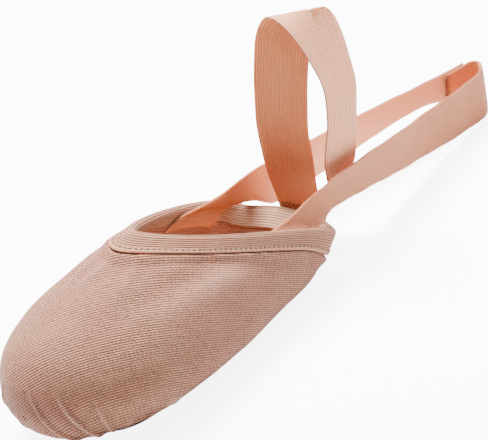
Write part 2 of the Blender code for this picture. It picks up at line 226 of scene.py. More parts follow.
@dataclass(frozen=True)
class ShoeLast:
    """The shape that the pouch, its binding and the strap feet follow."""

    pouch_length: float = 148.6
    pouch_height: float = 57.3
    pouch_width: float = 74.0
    toe_ahead: float = 77.0
    floor: float = 1.8
    floor_blend: float = 1.2
    whole_length: float = 300.0
    loop_height: float = 106.0
    wave_from: float = 0.6
    step: float = 2e-3

    def skin(self, station: Array | float, angle: Array | float) -> Array:
        """Outer surface of the pouch.

        Args:
            station: 0 at the toe to 1 at the collar.
            angle: 0 at the bottom, pi at the top, the left side first.

        Returns:
            Points in millimetres.
        """
        station, angle = np.broadcast_arrays(np.asarray(station, float), np.asarray(angle, float))
        shape = station.shape
        station, angle = station.ravel(), angle.ravel()
        mirror = LAST_RINGS[1][[LOW_BACK, LOW_UP, TOP_BACK, TOP_UP, HALF_WIDTH, WIDEST, ROUND_LOW,
                                ROUND_HIGH]]
        mirror = mirror * np.where(np.arange(8) == HALF_WIDTH, -1.0, 1.0)
        r = blend_rows(LAST_RINGS, station * (len(LAST_RINGS) - 1), mirror)
        s, c = np.sin(angle), np.cos(angle)
        low = c > 0
        power = 2.0 / np.where(low, r[:, ROUND_LOW], r[:, ROUND_HIGH])
        reach = np.abs(c) ** power
        m = r[:, WIDEST]
        h = np.where(low, m * (1 - reach), m + (1 - m) * reach)
        x_low, x_top = (self.toe_ahead - r[:, k] * self.pouch_length for k in (LOW_BACK, TOP_BACK))
        z_low, z_top = (r[:, k] * self.pouch_height for k in (LOW_UP, TOP_UP))
        y = r[:, HALF_WIDTH] * self.pouch_width / 2 * np.sign(s) * np.abs(s) ** power
        swell = sum(size * np.cos((k + 2) * angle) for k, size in enumerate(COLLAR_WAVE))
        risen = np.clip((station - self.wave_from) / (1 - self.wave_from), 0, 1)
        swell = swell * self.pouch_height * risen ** 2
        rim = LAST_RINGS[-1]
        run = unit(np.array([(rim[LOW_BACK] - rim[TOP_BACK]) * self.pouch_length,
                             (rim[TOP_UP] - rim[LOW_UP]) * self.pouch_height]))
        x = x_low + (x_top - x_low) * h - swell * run[1]
        z = z_low + (z_top - z_low) * h + swell * run[0]
        d = z - self.floor
        soft = (d + self.floor_blend) ** 2 / (4 * self.floor_blend)
        soft = np.where(d < -self.floor_blend, 0.0, soft)
        z = self.floor + np.where(d > self.floor_blend, d, soft)
        return np.stack([x, y, z], -1).reshape(shape + (3,))

    def normal(self, station: Array | float, angle: Array | float) -> Array:
        """Outward direction of the pouch at the same places as skin.

        Args:
            station: 0 at the toe to 1 at the collar.
            angle: 0 at the bottom, pi at the top.

        Returns:
            Directions of length 1.
        """
        station, angle = np.broadcast_arrays(np.asarray(station, float), np.asarray(angle, float))
        e = self.step
        at = np.clip(station, 2 * e, 1 - e)
        along = self.skin(at + e, angle) - self.skin(at - e, angle)
        turn = self.skin(at, angle + e) - self.skin(at, angle - e)
        return unit(np.cross(along, turn))

    def station_below(self, angle: float, depth: Array | float) -> Array:
        """Station whose distance below the rim, down the wall, is depth."""
        dense = np.linspace(1.0, self.wave_from, 161)
        return np.interp(depth, run_length(self.skin(dense, float(angle))), dense)

    def even_angles(self, count: int) -> Array:
        """Angles that lie evenly round the collar, from the bottom.

        Args:
            count: how many angles.

        Returns:
            Rising angles from 0.
        """
        dense = np.linspace(0, 2 * np.pi, 1441)
        run = run_length(0.5 * (self.skin(1.0, dense) + self.skin(0.62, dense)))
        return np.interp(np.arange(count) / count * run[-1], run, dense)

    def seat_angle(self, share: float) -> float:
        """Angle of a place on the rim, as a share of the way from the back centre to the throat.

        Args:
            share: 0 at the back centre to 1 at the throat, below zero on the right.

        Returns:
            The angle in radians, with the share's sign.
        """
        dense = np.linspace(0, np.pi, 721)
        run = run_length(self.skin(1.0, dense))
        return float(np.sign(share) * np.interp(abs(share) * run[-1], run, dense))

    def rise(self, angle: Array | float) -> Array:
        """The way up the wall at the rim, not at length 1."""
        return self.skin(1.0, angle) - self.skin(0.98, angle)


LAST = ShoeLast()


@dataclass(frozen=True)
class SewnLayers:
    """Thicknesses of the layers at the collar, and how far the straps lie from the pouch's skin."""

    wall: float = 1.3
    gap: float = 0.3
    binding: float = 1.2
    strap: float = 1.2

    @property
    def inside(self) -> float:
        """Middle of a strap sewn inside the binding."""
        return -(self.wall + self.gap + self.binding + 1.6 * self.gap + self.strap / 2)

    @property
    def outside(self) -> float:
        """Middle of a strap sewn outside the binding."""
        return self.gap + self.binding + 1.4 * self.gap + self.strap / 2

    @property
    def next_strap(self) -> float:
        """From one strap to another sewn over it."""
        return self.strap + 3 * self.gap


LAYERS = SewnLayers()


@dataclass
class MeshDraft:
    """Points, faces, pattern coordinates and attributes of a piece before it is made."""

    name: str
    points: list[Array] = field(default_factory=list)
    faces: list[Array] = field(default_factory=list)
    corners: list[Array] = field(default_factory=list)
    slots: list[Array] = field(default_factory=list)
    values: dict[str, list[Array]] = field(default_factory=dict)
    count: int = 0

    def add_points(self, points: Array, **values: Array | float) -> int:
        """Add points in millimetres with their named values, and give the first one's number.

        Args:
            points: places, the last axis of three.
            values: attribute values, one for each point or one for all.

        Returns:
            Number of the first new point.
        """
        first = self.count
        self.points.append(np.asarray(points, float).reshape(-1, 3))
        for key, value in values.items():
            self.values.setdefault(key, []).append(np.broadcast_to(value, points.shape[:-1]).ravel())
        self.count += len(self.points[-1])
        return first

    def add_faces(self, faces: Array, corner_uv: Array, slot: int = 0) -> None:
        """Add faces with the pattern coordinates of their corners, all in one material slot.

        Args:
            faces: point numbers, one row per face.
            corner_uv: pattern coordinates of each corner.
            slot: material slot.
        """
        self.faces.append(np.asarray(faces, int))
        self.corners.append(np.asarray(corner_uv, float))
        self.slots.append(np.full(len(faces), slot))

    def add_grid(self, first: int, uv: Array, closed: bool = False, flip: bool = False,
                 slot: int = 0, ring: bool = False, wrap: float = 0.0) -> None:
        """Faces over a grid of points that starts at number first.

        Args:
            first: number of the grid's first point.
            uv: pattern coordinates of the grid, rows by columns by 2.
            closed: whether the last column joins the first.
            flip: whether the faces turn the other way.
            slot: material slot.
            ring: whether the last row joins the first.
            wrap: what the second pattern coordinate gains from the last row to the first.
        """
        rows, cols = uv.shape[:2]
        a, b = np.meshgrid(np.arange(rows if ring else rows - 1),
                           np.arange(cols if closed else cols - 1), indexing="ij")
        a, b = a.ravel(), b.ravel()
        a2, b2 = (a + 1) % rows, (b + 1) % cols
        pairs = [(a, b), (a2, b), (a2, b2), (a, b2)]
        quads = np.stack([first + r * cols + c for r, c in pairs], 1)
        corners = np.stack([uv[r, c] for r, c in pairs], 1)
        corners[:, 1:3, 1] += np.where(a2 == 0, wrap, 0.0)[:, None]
        if flip:
            quads, corners = quads[:, ::-1], corners[:, ::-1]
        self.add_faces(quads, corners, slot)

    def add_fan(self, hub: int, first: int, hub_uv: Array, uv: Array, flip: bool = False,
                slot: int = 0) -> None:
        """Triangles from a hub to a closed ring of points.

        Args:
            hub: number of the middle point.
            first: number of the ring's first point.
            hub_uv: pattern coordinates of the middle point.
            uv: pattern coordinates of the ring.
            flip: whether the faces turn the other way.
            slot: material slot.
        """
        k = np.arange(len(uv))
        n = np.roll(k, -1)
        if flip:
            k, n = n, k
        spot = np.broadcast_to(hub_uv, uv.shape)
        self.add_faces(np.stack([np.full_like(k, hub), first + k, first + n], 1),
                       np.stack([spot, uv[k], uv[n]], 1), slot)

    def make(self, materials: Sequence[Material] = ()) -> Item:
        """Turn the draft into a smooth mesh object.

        Args:
            materials: materials in the order of their slots.

        Returns:
            The object, in the scene.
        """
        sizes = np.concatenate([np.full(len(f), f.shape[1]) for f in self.faces])
        mesh = bpy.data.meshes.new(self.name)
        mesh.vertices.add(self.count)
        mesh.loops.add(int(sizes.sum()))
        mesh.polygons.add(len(sizes))
        for target, key, values, kind in (
            (mesh.vertices, "co", np.concatenate(self.points) * MM, np.float32),
            (mesh.loops, "vertex_index", np.concatenate([f.ravel() for f in self.faces]), np.int32),
            (mesh.polygons, "loop_start", np.concatenate([[0], np.cumsum(sizes)[:-1]]), np.int32),
            (mesh.polygons, "material_index", np.concatenate(self.slots), np.int32),
        ):
            target.foreach_set(key, values.astype(kind).ravel())
        mesh.update(calc_edges=True)
        corners = np.concatenate([c.reshape(-1, 2) for c in self.corners])
        mesh.uv_layers.new(name="cloth").data.foreach_set("uv", corners.astype(np.float32).ravel())
        for key, parts in self.values.items():
            attribute = mesh.attributes.new(key, "FLOAT", "POINT")
            attribute.data.foreach_set("value", np.concatenate(parts).astype(np.float32))
        mesh.validate()
        mesh.shade_smooth()
        for material in materials:
            mesh.materials.append(material)
        return linked(self.name, mesh)


def path_object(name: str, points: Array, out: Array, closed: bool) -> Item:
    """A line of edges for the stitch tree, with the direction that the cloth faces.

    Args:
        name: object name.
        points: line in millimetres.
        out: outward direction at each point.
        closed: whether the end joins the start.

    Returns:
        A mesh object of edges only.
    """
    count = len(points)
    edges = [(k, (k + 1) % count) for k in range(count if closed else count - 1)]
    mesh = bpy.data.meshes.new(name)
    mesh.from_pydata((points * MM).tolist(), edges, [])
    facing = mesh.attributes.new("facing", "FLOAT_VECTOR", "POINT")
    facing.data.foreach_set("vector", out.astype(np.float32).ravel())
    return linked(name, mesh)


class NodeSketch:
    """Short calls for laying out a node tree; an input takes a socket, a node or a value."""

    def __init__(self, tree: NodeTree) -> None:
        """Start on a tree."""
        self.tree = tree
        self.across = 0

    def node(self, kind: str, **settings: object) -> Node:
        """Add a node and set its own settings.

        Args:
            kind: node type.
            settings: the node's own properties.

        Returns:
            The new node.
        """
        item = self.tree.nodes.new(kind)
        item.location = (self.across, 0)
        self.across += 180
        for key, value in settings.items():
            setattr(item, key, value)
        return item

    def feed(self, socket: Socket, value: object) -> None:
        """Link a socket to another or to a node's first output, or set its value.

        Args:
            socket: input socket.
            value: socket, node or plain value.
        """
        if isinstance(value, Node):
            value = value.outputs[0]
        if isinstance(value, Socket):
            self.tree.links.new(value, socket)
        else:
            socket.default_value = value

    def put(self, item: Node, **values: object) -> Node:
        """Feed a node's named inputs (underscores stand for spaces), and give the node.

        Args:
            item: node to feed.
            values: a socket, node or plain value for each input.

        Returns:
            The same node.
        """
        for key, value in values.items():
            self.feed(item.inputs[key.replace("_", " ")], value)
        return item

    def attribute(self, name: str, kind: str = "FLOAT") -> Node:
        """Read a named attribute in a geometry tree."""
        return self.put(self.node("GeometryNodeInputNamedAttribute", data_type=kind), Name=name)

    def math(self, operation: str, *values: object, clamp: bool = False) -> Socket:
        """One Math node on up to three values.

        Args:
            operation: the node's operation.
            values: what its inputs take, in order.
            clamp: whether the result stays in 0..1.

        Returns:
            The result.
        """
        item = self.node("ShaderNodeMath", operation=operation, use_clamp=clamp)
        for socket, value in zip(item.inputs, values):
            self.feed(socket, value)
        return item.outputs[0]

    def times(self, first: object, second: object, clamp: bool = False) -> Socket:
        """One value times another."""
        return self.math("MULTIPLY", first, second, clamp=clamp)

    def plus(self, first: object, second: object, clamp: bool = False) -> Socket:
        """One value plus another."""
        return self.math("ADD", first, second, clamp=clamp)

    def spread(self, value: object, size: float, least: float) -> Socket:
        """A value in 0..1 spread over a size above the least."""
        return self.plus(self.times(value, size), least)

    def rest(self, value: object) -> Socket:
        """What a value lacks of 1."""
        return self.math("SUBTRACT", 1.0, value)

    def blend(self, factor: object, first: object, second: object, mode: str = "MIX") -> Socket:
        """One colour Mix node.

        Args:
            factor: share of the second colour.
            first: colour or socket.
            second: colour or socket.
            mode: way of mixing.

        Returns:
            The mixed colour.
        """
        item = self.node("ShaderNodeMix", data_type="RGBA", blend_type=mode)
        self.feed(item.inputs[0], factor)
        for socket, value in ((item.inputs[6], first), (item.inputs[7], second)):
            self.feed(socket, (*value, 1.0) if isinstance(value, tuple) else value)
        return item.outputs[2]

    def noise(self, vector: object, scale: object, detail: float = 2.0) -> Socket:
        """One Noise texture, as a value."""
        return self.put(self.node("ShaderNodeTexNoise"), Vector=vector, Scale=scale,
                        Detail=detail).outputs[0]


def new_group(name: str, kind: str, takes: Sequence[tuple[str, str, object]],
              gives: dict[str, str]) -> tuple[NodeSketch, Sockets, Node]:
    """An empty node group with named sockets.

    Args:
        name: group name.
        kind: tree type.
        takes: name, socket type and default of each input.
        gives: socket type of each output by its name.

    Returns:
        The sketch of the tree, the sockets that it takes and its output node.
    """
    tree = bpy.data.node_groups.new(name, kind)
    for label, socket_type, default in takes:
        socket = tree.interface.new_socket(label, in_out="INPUT", socket_type="NodeSocket" + socket_type)
        if default is not None:
            socket.default_value = default
    for label, socket_type in gives.items():
        tree.interface.new_socket(label, in_out="OUTPUT", socket_type="NodeSocket" + socket_type)
    sketch = NodeSketch(tree)
    return sketch, sketch.node("NodeGroupInput").outputs, sketch.node("NodeGroupOutput")


class ShaderParts:
    """Shader groups that several finishes share, built once each."""

    @staticmethod
    @cache
    def rib_pattern() -> NodeTree:
        """Raised ribs crossed by small loops, on pattern coordinates in millimetres.

        Returns:
            The group, which gives the height of the cloth from 0 to 1.
        """
        s, g, out = new_group("rib_pattern", "ShaderNodeTree", [
            ("Pattern", "Vector", None), ("Place", "Vector", None), ("Rib Pitch", "Float", 1.0),
            ("Loop Pitch", "Float", 1.0), ("Wobble", "Float", 0.3), ("Loop Share", "Float", 0.35),
            ("Loop Scatter", "Float", 1.0), ("Fray", "Float", 0.05),
        ], {"Height": "Float"})
        place = g["Place"]
        split = s.put(s.node("ShaderNodeSeparateXYZ"), Vector=g["Pattern"]).outputs
        drift = s.math("SUBTRACT", s.noise(place, 0.09, 3.0), 0.5)
        fray = s.times(s.math("SUBTRACT", s.noise(place, 0.8, 3.0), 0.5), g["Fray"])
        across = s.plus(s.math("DIVIDE", split[0], g["Rib Pitch"]), s.times(drift, g["Wobble"]))
        across = s.plus(across, fray)
        rib = s.math("FLOOR", s.plus(across, 0.5))
        chance = s.put(s.node("ShaderNodeTexWhiteNoise", noise_dimensions="1D"), W=rib)
        along = s.plus(s.math("DIVIDE", split[1], g["Loop Pitch"]),
                       s.times(chance.outputs["Value"], g["Loop Scatter"]))
        along = s.plus(along, s.times(fray, 3.0))
        crest, loop = (s.math("MULTIPLY_ADD", s.math("COSINE", s.times(v, 2 * math.pi)), 0.5, 0.5)
                       for v in (across, along))
        cell = s.put(s.node("ShaderNodeCombineXYZ"), X=rib, Y=s.math("FLOOR", s.plus(along, 0.5)))
        dash = s.put(s.node("ShaderNodeTexWhiteNoise", noise_dimensions="2D"), Vector=cell)
        uneven = s.spread(dash.outputs["Value"], 0.7, 0.3)
        dip = s.times(s.times(s.rest(loop), uneven), g["Loop Share"])
        s.put(out, Height=s.times(s.math("POWER", crest, 0.75), s.rest(dip)))
        return s.tree

    @staticmethod
    @cache
    def mottle() -> NodeTree:
        """Broad patches and fine grain on places in millimetres.

        Returns:
            The group, which gives the patches and the grain.
        """
        s, g, out = new_group("mottle", "ShaderNodeTree", [
            ("Place", "Vector", None), ("Patch Size", "Float", 20.0), ("Grain Size", "Float", 0.5),
        ], {"Patch": "Float", "Grain": "Float"})
        broad = s.noise(g["Place"], s.math("DIVIDE", 1.0, g["Patch Size"]))
        patch = s.put(s.node("ShaderNodeMapRange", interpolation_type="SMOOTHSTEP"), Value=broad,
                      From_Min=0.35, From_Max=0.65)
        s.put(out, Patch=patch, Grain=s.noise(g["Place"], s.math("DIVIDE", 1.0, g["Grain Size"]), 3.0))
        return s.tree


@dataclass(frozen=True)
class Finish:
    """What every finish starts from: a material with places in millimetres."""

    name: str

    def start(self) -> tuple[Material, NodeSketch, Node, Socket]:
        """A material, its sketch, its Principled shader and Object places in millimetres.

        Returns:
            The four of them.
        """
        material = bpy.data.materials.new(self.name)
        material.use_nodes = True
        sketch = NodeSketch(material.node_tree)
        place = sketch.node("ShaderNodeTexCoord").outputs["Object"]
        scale = sketch.put(sketch.node("ShaderNodeVectorMath", operation="SCALE"), Vector=place,
                           Scale=1.0 / MM)
        return material, sketch, material.node_tree.nodes["Principled BSDF"], scale.outputs[0]

    def group(self, sketch: NodeSketch, tree: NodeTree, **values: object) -> Sockets:
        """Place a shared group, feed its named inputs and give its outputs."""
        return sketch.put(sketch.node("ShaderNodeGroup", node_tree=tree), **values).outputs

    def relief(self, sketch: NodeSketch, shader: Node, height: Socket, depth: float) -> None:
        """Feed a height in 0..1 to the shader's normal, depth in millimetres."""
        sketch.put(shader, Normal=sketch.put(sketch.node("ShaderNodeBump"), Strength=1.0,
                                             Distance=depth * MM, Height=height))


@dataclass(frozen=True)
class RibbedCloth(Finish):
    """Stretch canvas or woven elastic: ribs, loops across them, patches and grain, with painted shade in
    the grooves and painted highlight and shade taken from a point attribute.
    """

    rib: Colour = (0.66, 0.345, 0.205)
    # The groove colour is painted shade between the ribs and in hollows.
    groove: Colour = (0.16, 0.055, 0.030)
    patch: Colour = (0.66, 0.275, 0.17)
    # Paler colour: painted highlight on lit faces, and on the pouch's crests partly stretched cloth as
    # well.
    stretch_and_highlight: Colour = (0.86, 0.55, 0.40)
    patch_share: float = 0.7
    groove_share: float = 0.85
    rib_pitch: float = 1.0
    loop_pitch: float = 1.7
    wobble: float = 0.35
    loop_share: float = 0.5
    loop_scatter: float = 1.0
    fray: float = 0.05
    depth: float = 0.26
    glow: float = 0.0
    # How far raised places are painted lighter (painted highlight) and hollows painted darker (painted
    # shade); on the pouch's crests the paler colour is partly stretched cloth.
    crest_highlight: float = 0.38
    hollow_shade: float = 0.40
    grain_share: float = 0.36

    def make(self) -> Material:
        """The finished material.

        Returns:
            The material.
        """
        material, s, shader, place = self.start()
        ribs = self.group(s, ShaderParts.rib_pattern(), Pattern=s.node("ShaderNodeUVMap", uv_map="cloth"),
                          Place=place, Rib_Pitch=self.rib_pitch, Loop_Pitch=self.loop_pitch,
                          Wobble=self.wobble, Loop_Share=self.loop_share,
                          Loop_Scatter=self.loop_scatter, Fray=self.fray)
        cloud = self.group(s, ShaderParts.mottle(), Place=place, Patch_Size=22.0, Grain_Size=0.45)
        colour = s.blend(s.times(cloud["Patch"], self.patch_share), self.rib, self.patch)
        # Darker in the grooves between ribs and where loops cross them: painted shade.
        colour = s.blend(s.times(s.rest(ribs["Height"]), self.groove_share), colour, self.groove)
        # Painted highlight towards the pale colour where the point attribute is above 0, and painted shade
        # towards the groove colour where it is below 0.
        tuck = s.node("ShaderNodeAttribute", attribute_name="tuck").outputs["Fac"]
        colour = s.blend(s.times(tuck, self.crest_highlight, clamp=True), colour, self.stretch_and_highlight)
        colour = s.blend(s.times(tuck, -self.hollow_shade, clamp=True), colour, self.groove)
        grain = s.spread(cloud["Grain"], self.grain_share, 1 - self.grain_share / 2)
        tint = s.put(s.node("ShaderNodeCombineColor"), Red=grain, Green=grain, Blue=grain)
        s.put(shader, Base_Color=s.blend(1.0, colour, tint, "MULTIPLY"),
              Roughness=s.spread(cloud["Grain"], 0.2, 0.72), Sheen_Weight=0.12, Sheen_Roughness=0.45,
              Sheen_Tint=(1.0, 0.88, 0.8, 1.0), Specular_IOR_Level=0.25, Subsurface_Weight=self.glow,
              Subsurface_Radius=(1.0, 0.45, 0.25), Subsurface_Scale=0.0016)
        self.relief(s, shader, s.plus(ribs["Height"], s.times(cloud["Grain"], 0.35)), self.depth)
        return material


@dataclass(frozen=True)
class Suede(Finish):
    """Brushed suede: short nap in patches, scuffed where it meets the floor."""

    nap: Colour = (0.055, 0.040, 0.034)
    worn: Colour = (0.14, 0.105, 0.085)
    depth: float = 0.35

    def make(self) -> Material:
        """The finished material.

        Returns:
            The material.
        """
        material, s, shader, place = self.start()
        cloud = self.group(s, ShaderParts.mottle(), Place=place, Patch_Size=14.0, Grain_Size=0.5)
        fibre = self.group(s, ShaderParts.mottle(), Place=place, Patch_Size=1.6, Grain_Size=0.22)
        wear = s.plus(s.times(cloud["Patch"], 0.55), s.times(fibre["Patch"], 0.3), clamp=True)
        colour = s.blend(wear, self.nap, self.worn)
        s.put(shader, Base_Color=s.blend(s.times(cloud["Grain"], 0.5), colour, self.worn),
              Roughness=s.spread(fibre["Grain"], 0.12, 0.86), Sheen_Weight=0.35, Sheen_Roughness=0.6,
              Specular_IOR_Level=0.15)
        self.relief(s, shader, s.plus(fibre["Grain"], s.times(fibre["Patch"], 0.4)), self.depth)
        return material


@dataclass(frozen=True)
class BrushedLining(Finish):
    """Soft napped lining cloth with a faint weave."""

    cloth: Colour = (0.68, 0.50, 0.39)
    hollow: Colour = (0.50, 0.33, 0.24)
    depth: float = 0.14

    def make(self) -> Material:
        """The finished material.

        Returns:
            The material.
        """
        material, s, shader, place = self.start()
        weave = self.group(s, ShaderParts.rib_pattern(), Pattern=s.node("ShaderNodeUVMap", uv_map="cloth"),
                           Place=place, Rib_Pitch=0.7, Loop_Pitch=0.7, Wobble=0.5)
        cloud = self.group(s, ShaderParts.mottle(), Place=place, Patch_Size=9.0, Grain_Size=0.35)
        # Darker in the weave's hollows as painted shade, and in broad patches as the cloth's own uneven
        # tone.
        share = s.plus(s.times(s.rest(weave["Height"]), 0.35), s.times(cloud["Patch"], 0.3), clamp=True)
        s.put(shader, Base_Color=s.blend(share, self.cloth, self.hollow), Sheen_Weight=0.3,
              Roughness=s.spread(cloud["Grain"], 0.15, 0.8), Specular_IOR_Level=0.2)
        self.relief(s, shader, s.plus(weave["Height"], cloud["Grain"]), self.depth)
        return material


@dataclass(frozen=True)
class Thread(Finish):
    """Twisted sewing thread: slanting plies, with painted shade between them."""

    ply: Colour
    gap: Colour
    depth: float = 0.06

    def make(self) -> Material:
        """The finished material.

        Returns:
            The material.
        """
        material, s, shader, place = self.start()
        wave = s.put(s.node("ShaderNodeTexWave", wave_type="BANDS", bands_direction="DIAGONAL"),
                     Vector=place, Scale=0.9, Distortion=1.2).outputs["Fac"]
        s.put(shader, Base_Color=s.blend(wave, self.gap, self.ply),
              Roughness=s.spread(s.noise(place, 2.0), 0.2, 0.5))
        self.relief(s, shader, wave, self.depth)
        return material


def run_tree(item: Item, tree: NodeTree, **values: object) -> Item:
    """Run a geometry tree on an object and keep the result as its plain mesh.

    Args:
        item: object whose mesh the tree takes.
        tree: geometry tree.
        values: the tree's inputs by name, underscores for spaces, set by socket identifier.

    Returns:
        The same object, with no modifier.
    """
    modifier = item.modifiers.new(tree.name, "NODES")
    modifier.node_group = tree
    for socket in tree.interface.items_tree:
        key = socket.name.replace(" ", "_")
        if socket.item_type == "SOCKET" and socket.in_out == "INPUT" and key in values:
            modifier[socket.identifier] = values[key]
    bpy.context.view_layer.update()
    graph = bpy.context.evaluated_depsgraph_get()
    mesh = bpy.data.meshes.new_from_object(item.evaluated_get(graph), preserve_all_data_layers=True,
                                           depsgraph=graph)
    old = item.data
    item.modifiers.clear()
    item.data = mesh
    mesh.name = item.name
    bpy.data.meshes.remove(old)
    return item


@cache
def ribbed_elastic_tree() -> NodeTree:
    """Raises round ribs on an elastic, by the values rib_count and rib_gain of its points.

    Returns:
        The geometry tree.
    """
    s, g, out = new_group("ribbed_elastic", "GeometryNodeTree", [
        ("Elastic", "Geometry", None), ("Rib Height", "Float", 0.0002), ("Outer", "Material", None),
        ("Inner", "Material", None),
    ], {"Elastic": "Geometry"})
    wave = s.math("ABSOLUTE", s.math("SINE", s.times(s.attribute("rib_count"), math.pi)))
    rise = s.times(s.times(wave, s.attribute("rib_gain")), g["Rib Height"])
    push = s.put(s.node("ShaderNodeVectorMath", operation="SCALE"), Scale=rise,
                 Vector=s.node("GeometryNodeInputNormal"))
    moved = s.put(s.node("GeometryNodeSetPosition"), Geometry=g["Elastic"], Offset=push)
    whole = s.put(s.node("GeometryNodeRealizeInstances"), Geometry=moved)
    outer = s.put(s.node("GeometryNodeSetMaterial"), Geometry=whole, Material=g["Outer"])
    inside = s.math("GREATER_THAN", s.attribute("inner_side"), 0.5)
    inner = s.put(s.node("GeometryNodeSetMaterial"), Geometry=outer, Selection=inside,
                  Material=g["Inner"])
    s.put(out, Elastic=inner)
    return s.tree


@cache
def stitch_run_tree() -> NodeTree:
    """Lays rounded stitches along a line, each turned with the line and with the cloth below it.

    Returns:
        The geometry tree.
    """
    s, g, out = new_group("stitch_run", "GeometryNodeTree", [
        ("Line", "Geometry", None), ("Spacing", "Float", 0.003), ("Stitch Length", "Float", 0.0024),
        ("Thread Radius", "Float", 0.0003), ("Slant", "Float", 0.0), ("Wander", "Float", 0.05),
        ("Seed", "Int", 1), ("Thread", "Material", None),
    ], {"Stitches": "Geometry"})
    curve = s.put(s.node("GeometryNodeMeshToCurve"), Mesh=g["Line"])
    even = s.put(s.node("GeometryNodeResampleCurve", mode="LENGTH"), Curve=curve, Length=g["Spacing"])
    bead = s.put(s.node("GeometryNodeMeshUVSphere"), Segments=8, Rings=6, Radius=1.0)
    size = s.put(s.node("ShaderNodeCombineXYZ"), X=s.times(g["Stitch Length"], 0.5),
                 Y=g["Thread Radius"], Z=g["Thread Radius"])
    shape = s.put(s.node("GeometryNodeTransform"), Geometry=bead, Scale=size)
    along = s.put(s.node("FunctionNodeAlignRotationToVector", axis="X"),
                  Vector=s.node("GeometryNodeInputTangent"))
    lie = s.put(s.node("FunctionNodeAlignRotationToVector", axis="Z", pivot_axis="X"), Rotation=along,
                Vector=s.attribute("facing", "FLOAT_VECTOR"))
    parity = s.rest(s.times(s.math("MODULO", s.node("GeometryNodeInputIndex"), 2.0), 2.0))
    chance = s.put(s.node("FunctionNodeRandomValue", data_type="FLOAT"), Seed=g["Seed"])
    s.feed(chance.inputs[2], -1.0)
    s.feed(chance.inputs[3], 1.0)
    swing = s.plus(s.times(parity, g["Slant"]), s.times(chance.outputs[1], g["Wander"]))
    twist = s.put(s.node("FunctionNodeAxisAngleToRotation"), Axis=(0.0, 0.0, 1.0), Angle=swing)
    turned = s.put(s.node("FunctionNodeRotateRotation", rotation_space="LOCAL"), Rotation=lie,
                   Rotate_By=twist)
    place = s.put(s.node("GeometryNodeInstanceOnPoints"), Points=even, Instance=shape, Rotation=turned)
    whole = s.put(s.node("GeometryNodeRealizeInstances"), Geometry=place)
    s.put(out, Stitches=s.put(s.node("GeometryNodeSetMaterial"), Geometry=whole, Material=g["Thread"]))
    return s.tree


@dataclass(frozen=True)
class StitchRun:
    """One run of machine stitches."""

    name: str
    spacing: float = 3.0
    length: float = 2.4
    radius: float = 0.3
    slant: float = 0.0
    wander: float = 0.05
    seed: int = 1

    def sew(self, points: Array, out: Array, thread: Material,
            closed: bool = False) -> Item:
        """Sew along a line.

        Args:
            points: line in millimetres.
            out: direction the cloth faces at each point.
            thread: thread material.
            closed: whether the line closes on itself.

        Returns:
            The stitches as one mesh piece.
        """
        item = path_object(self.name, points, out, closed)
        run_tree(item, stitch_run_tree(), Spacing=self.spacing * MM, Stitch_Length=self.length * MM,
                 Thread_Radius=self.radius * MM, Slant=self.slant, Wander=self.wander,
                 Seed=self.seed, Thread=thread)
        item.data.shade_smooth()
        return item


@dataclass(frozen=True)
class Pleat:
    """A pleat that runs up the toe from the sole's edge.

    turn is its place round the toe in degrees at 24 mm up, lean how it moves per mm down.
    """

    turn: float
    lean: float
    height: float
    top: float
    width: float = 0.9


@dataclass(frozen=True)
class Fold:
    """A soft fold between two places on the pouch; a height below zero is a hollow."""

    start: tuple[float, float, float]
    end: tuple[float, float, float]
    height: float
    width: float


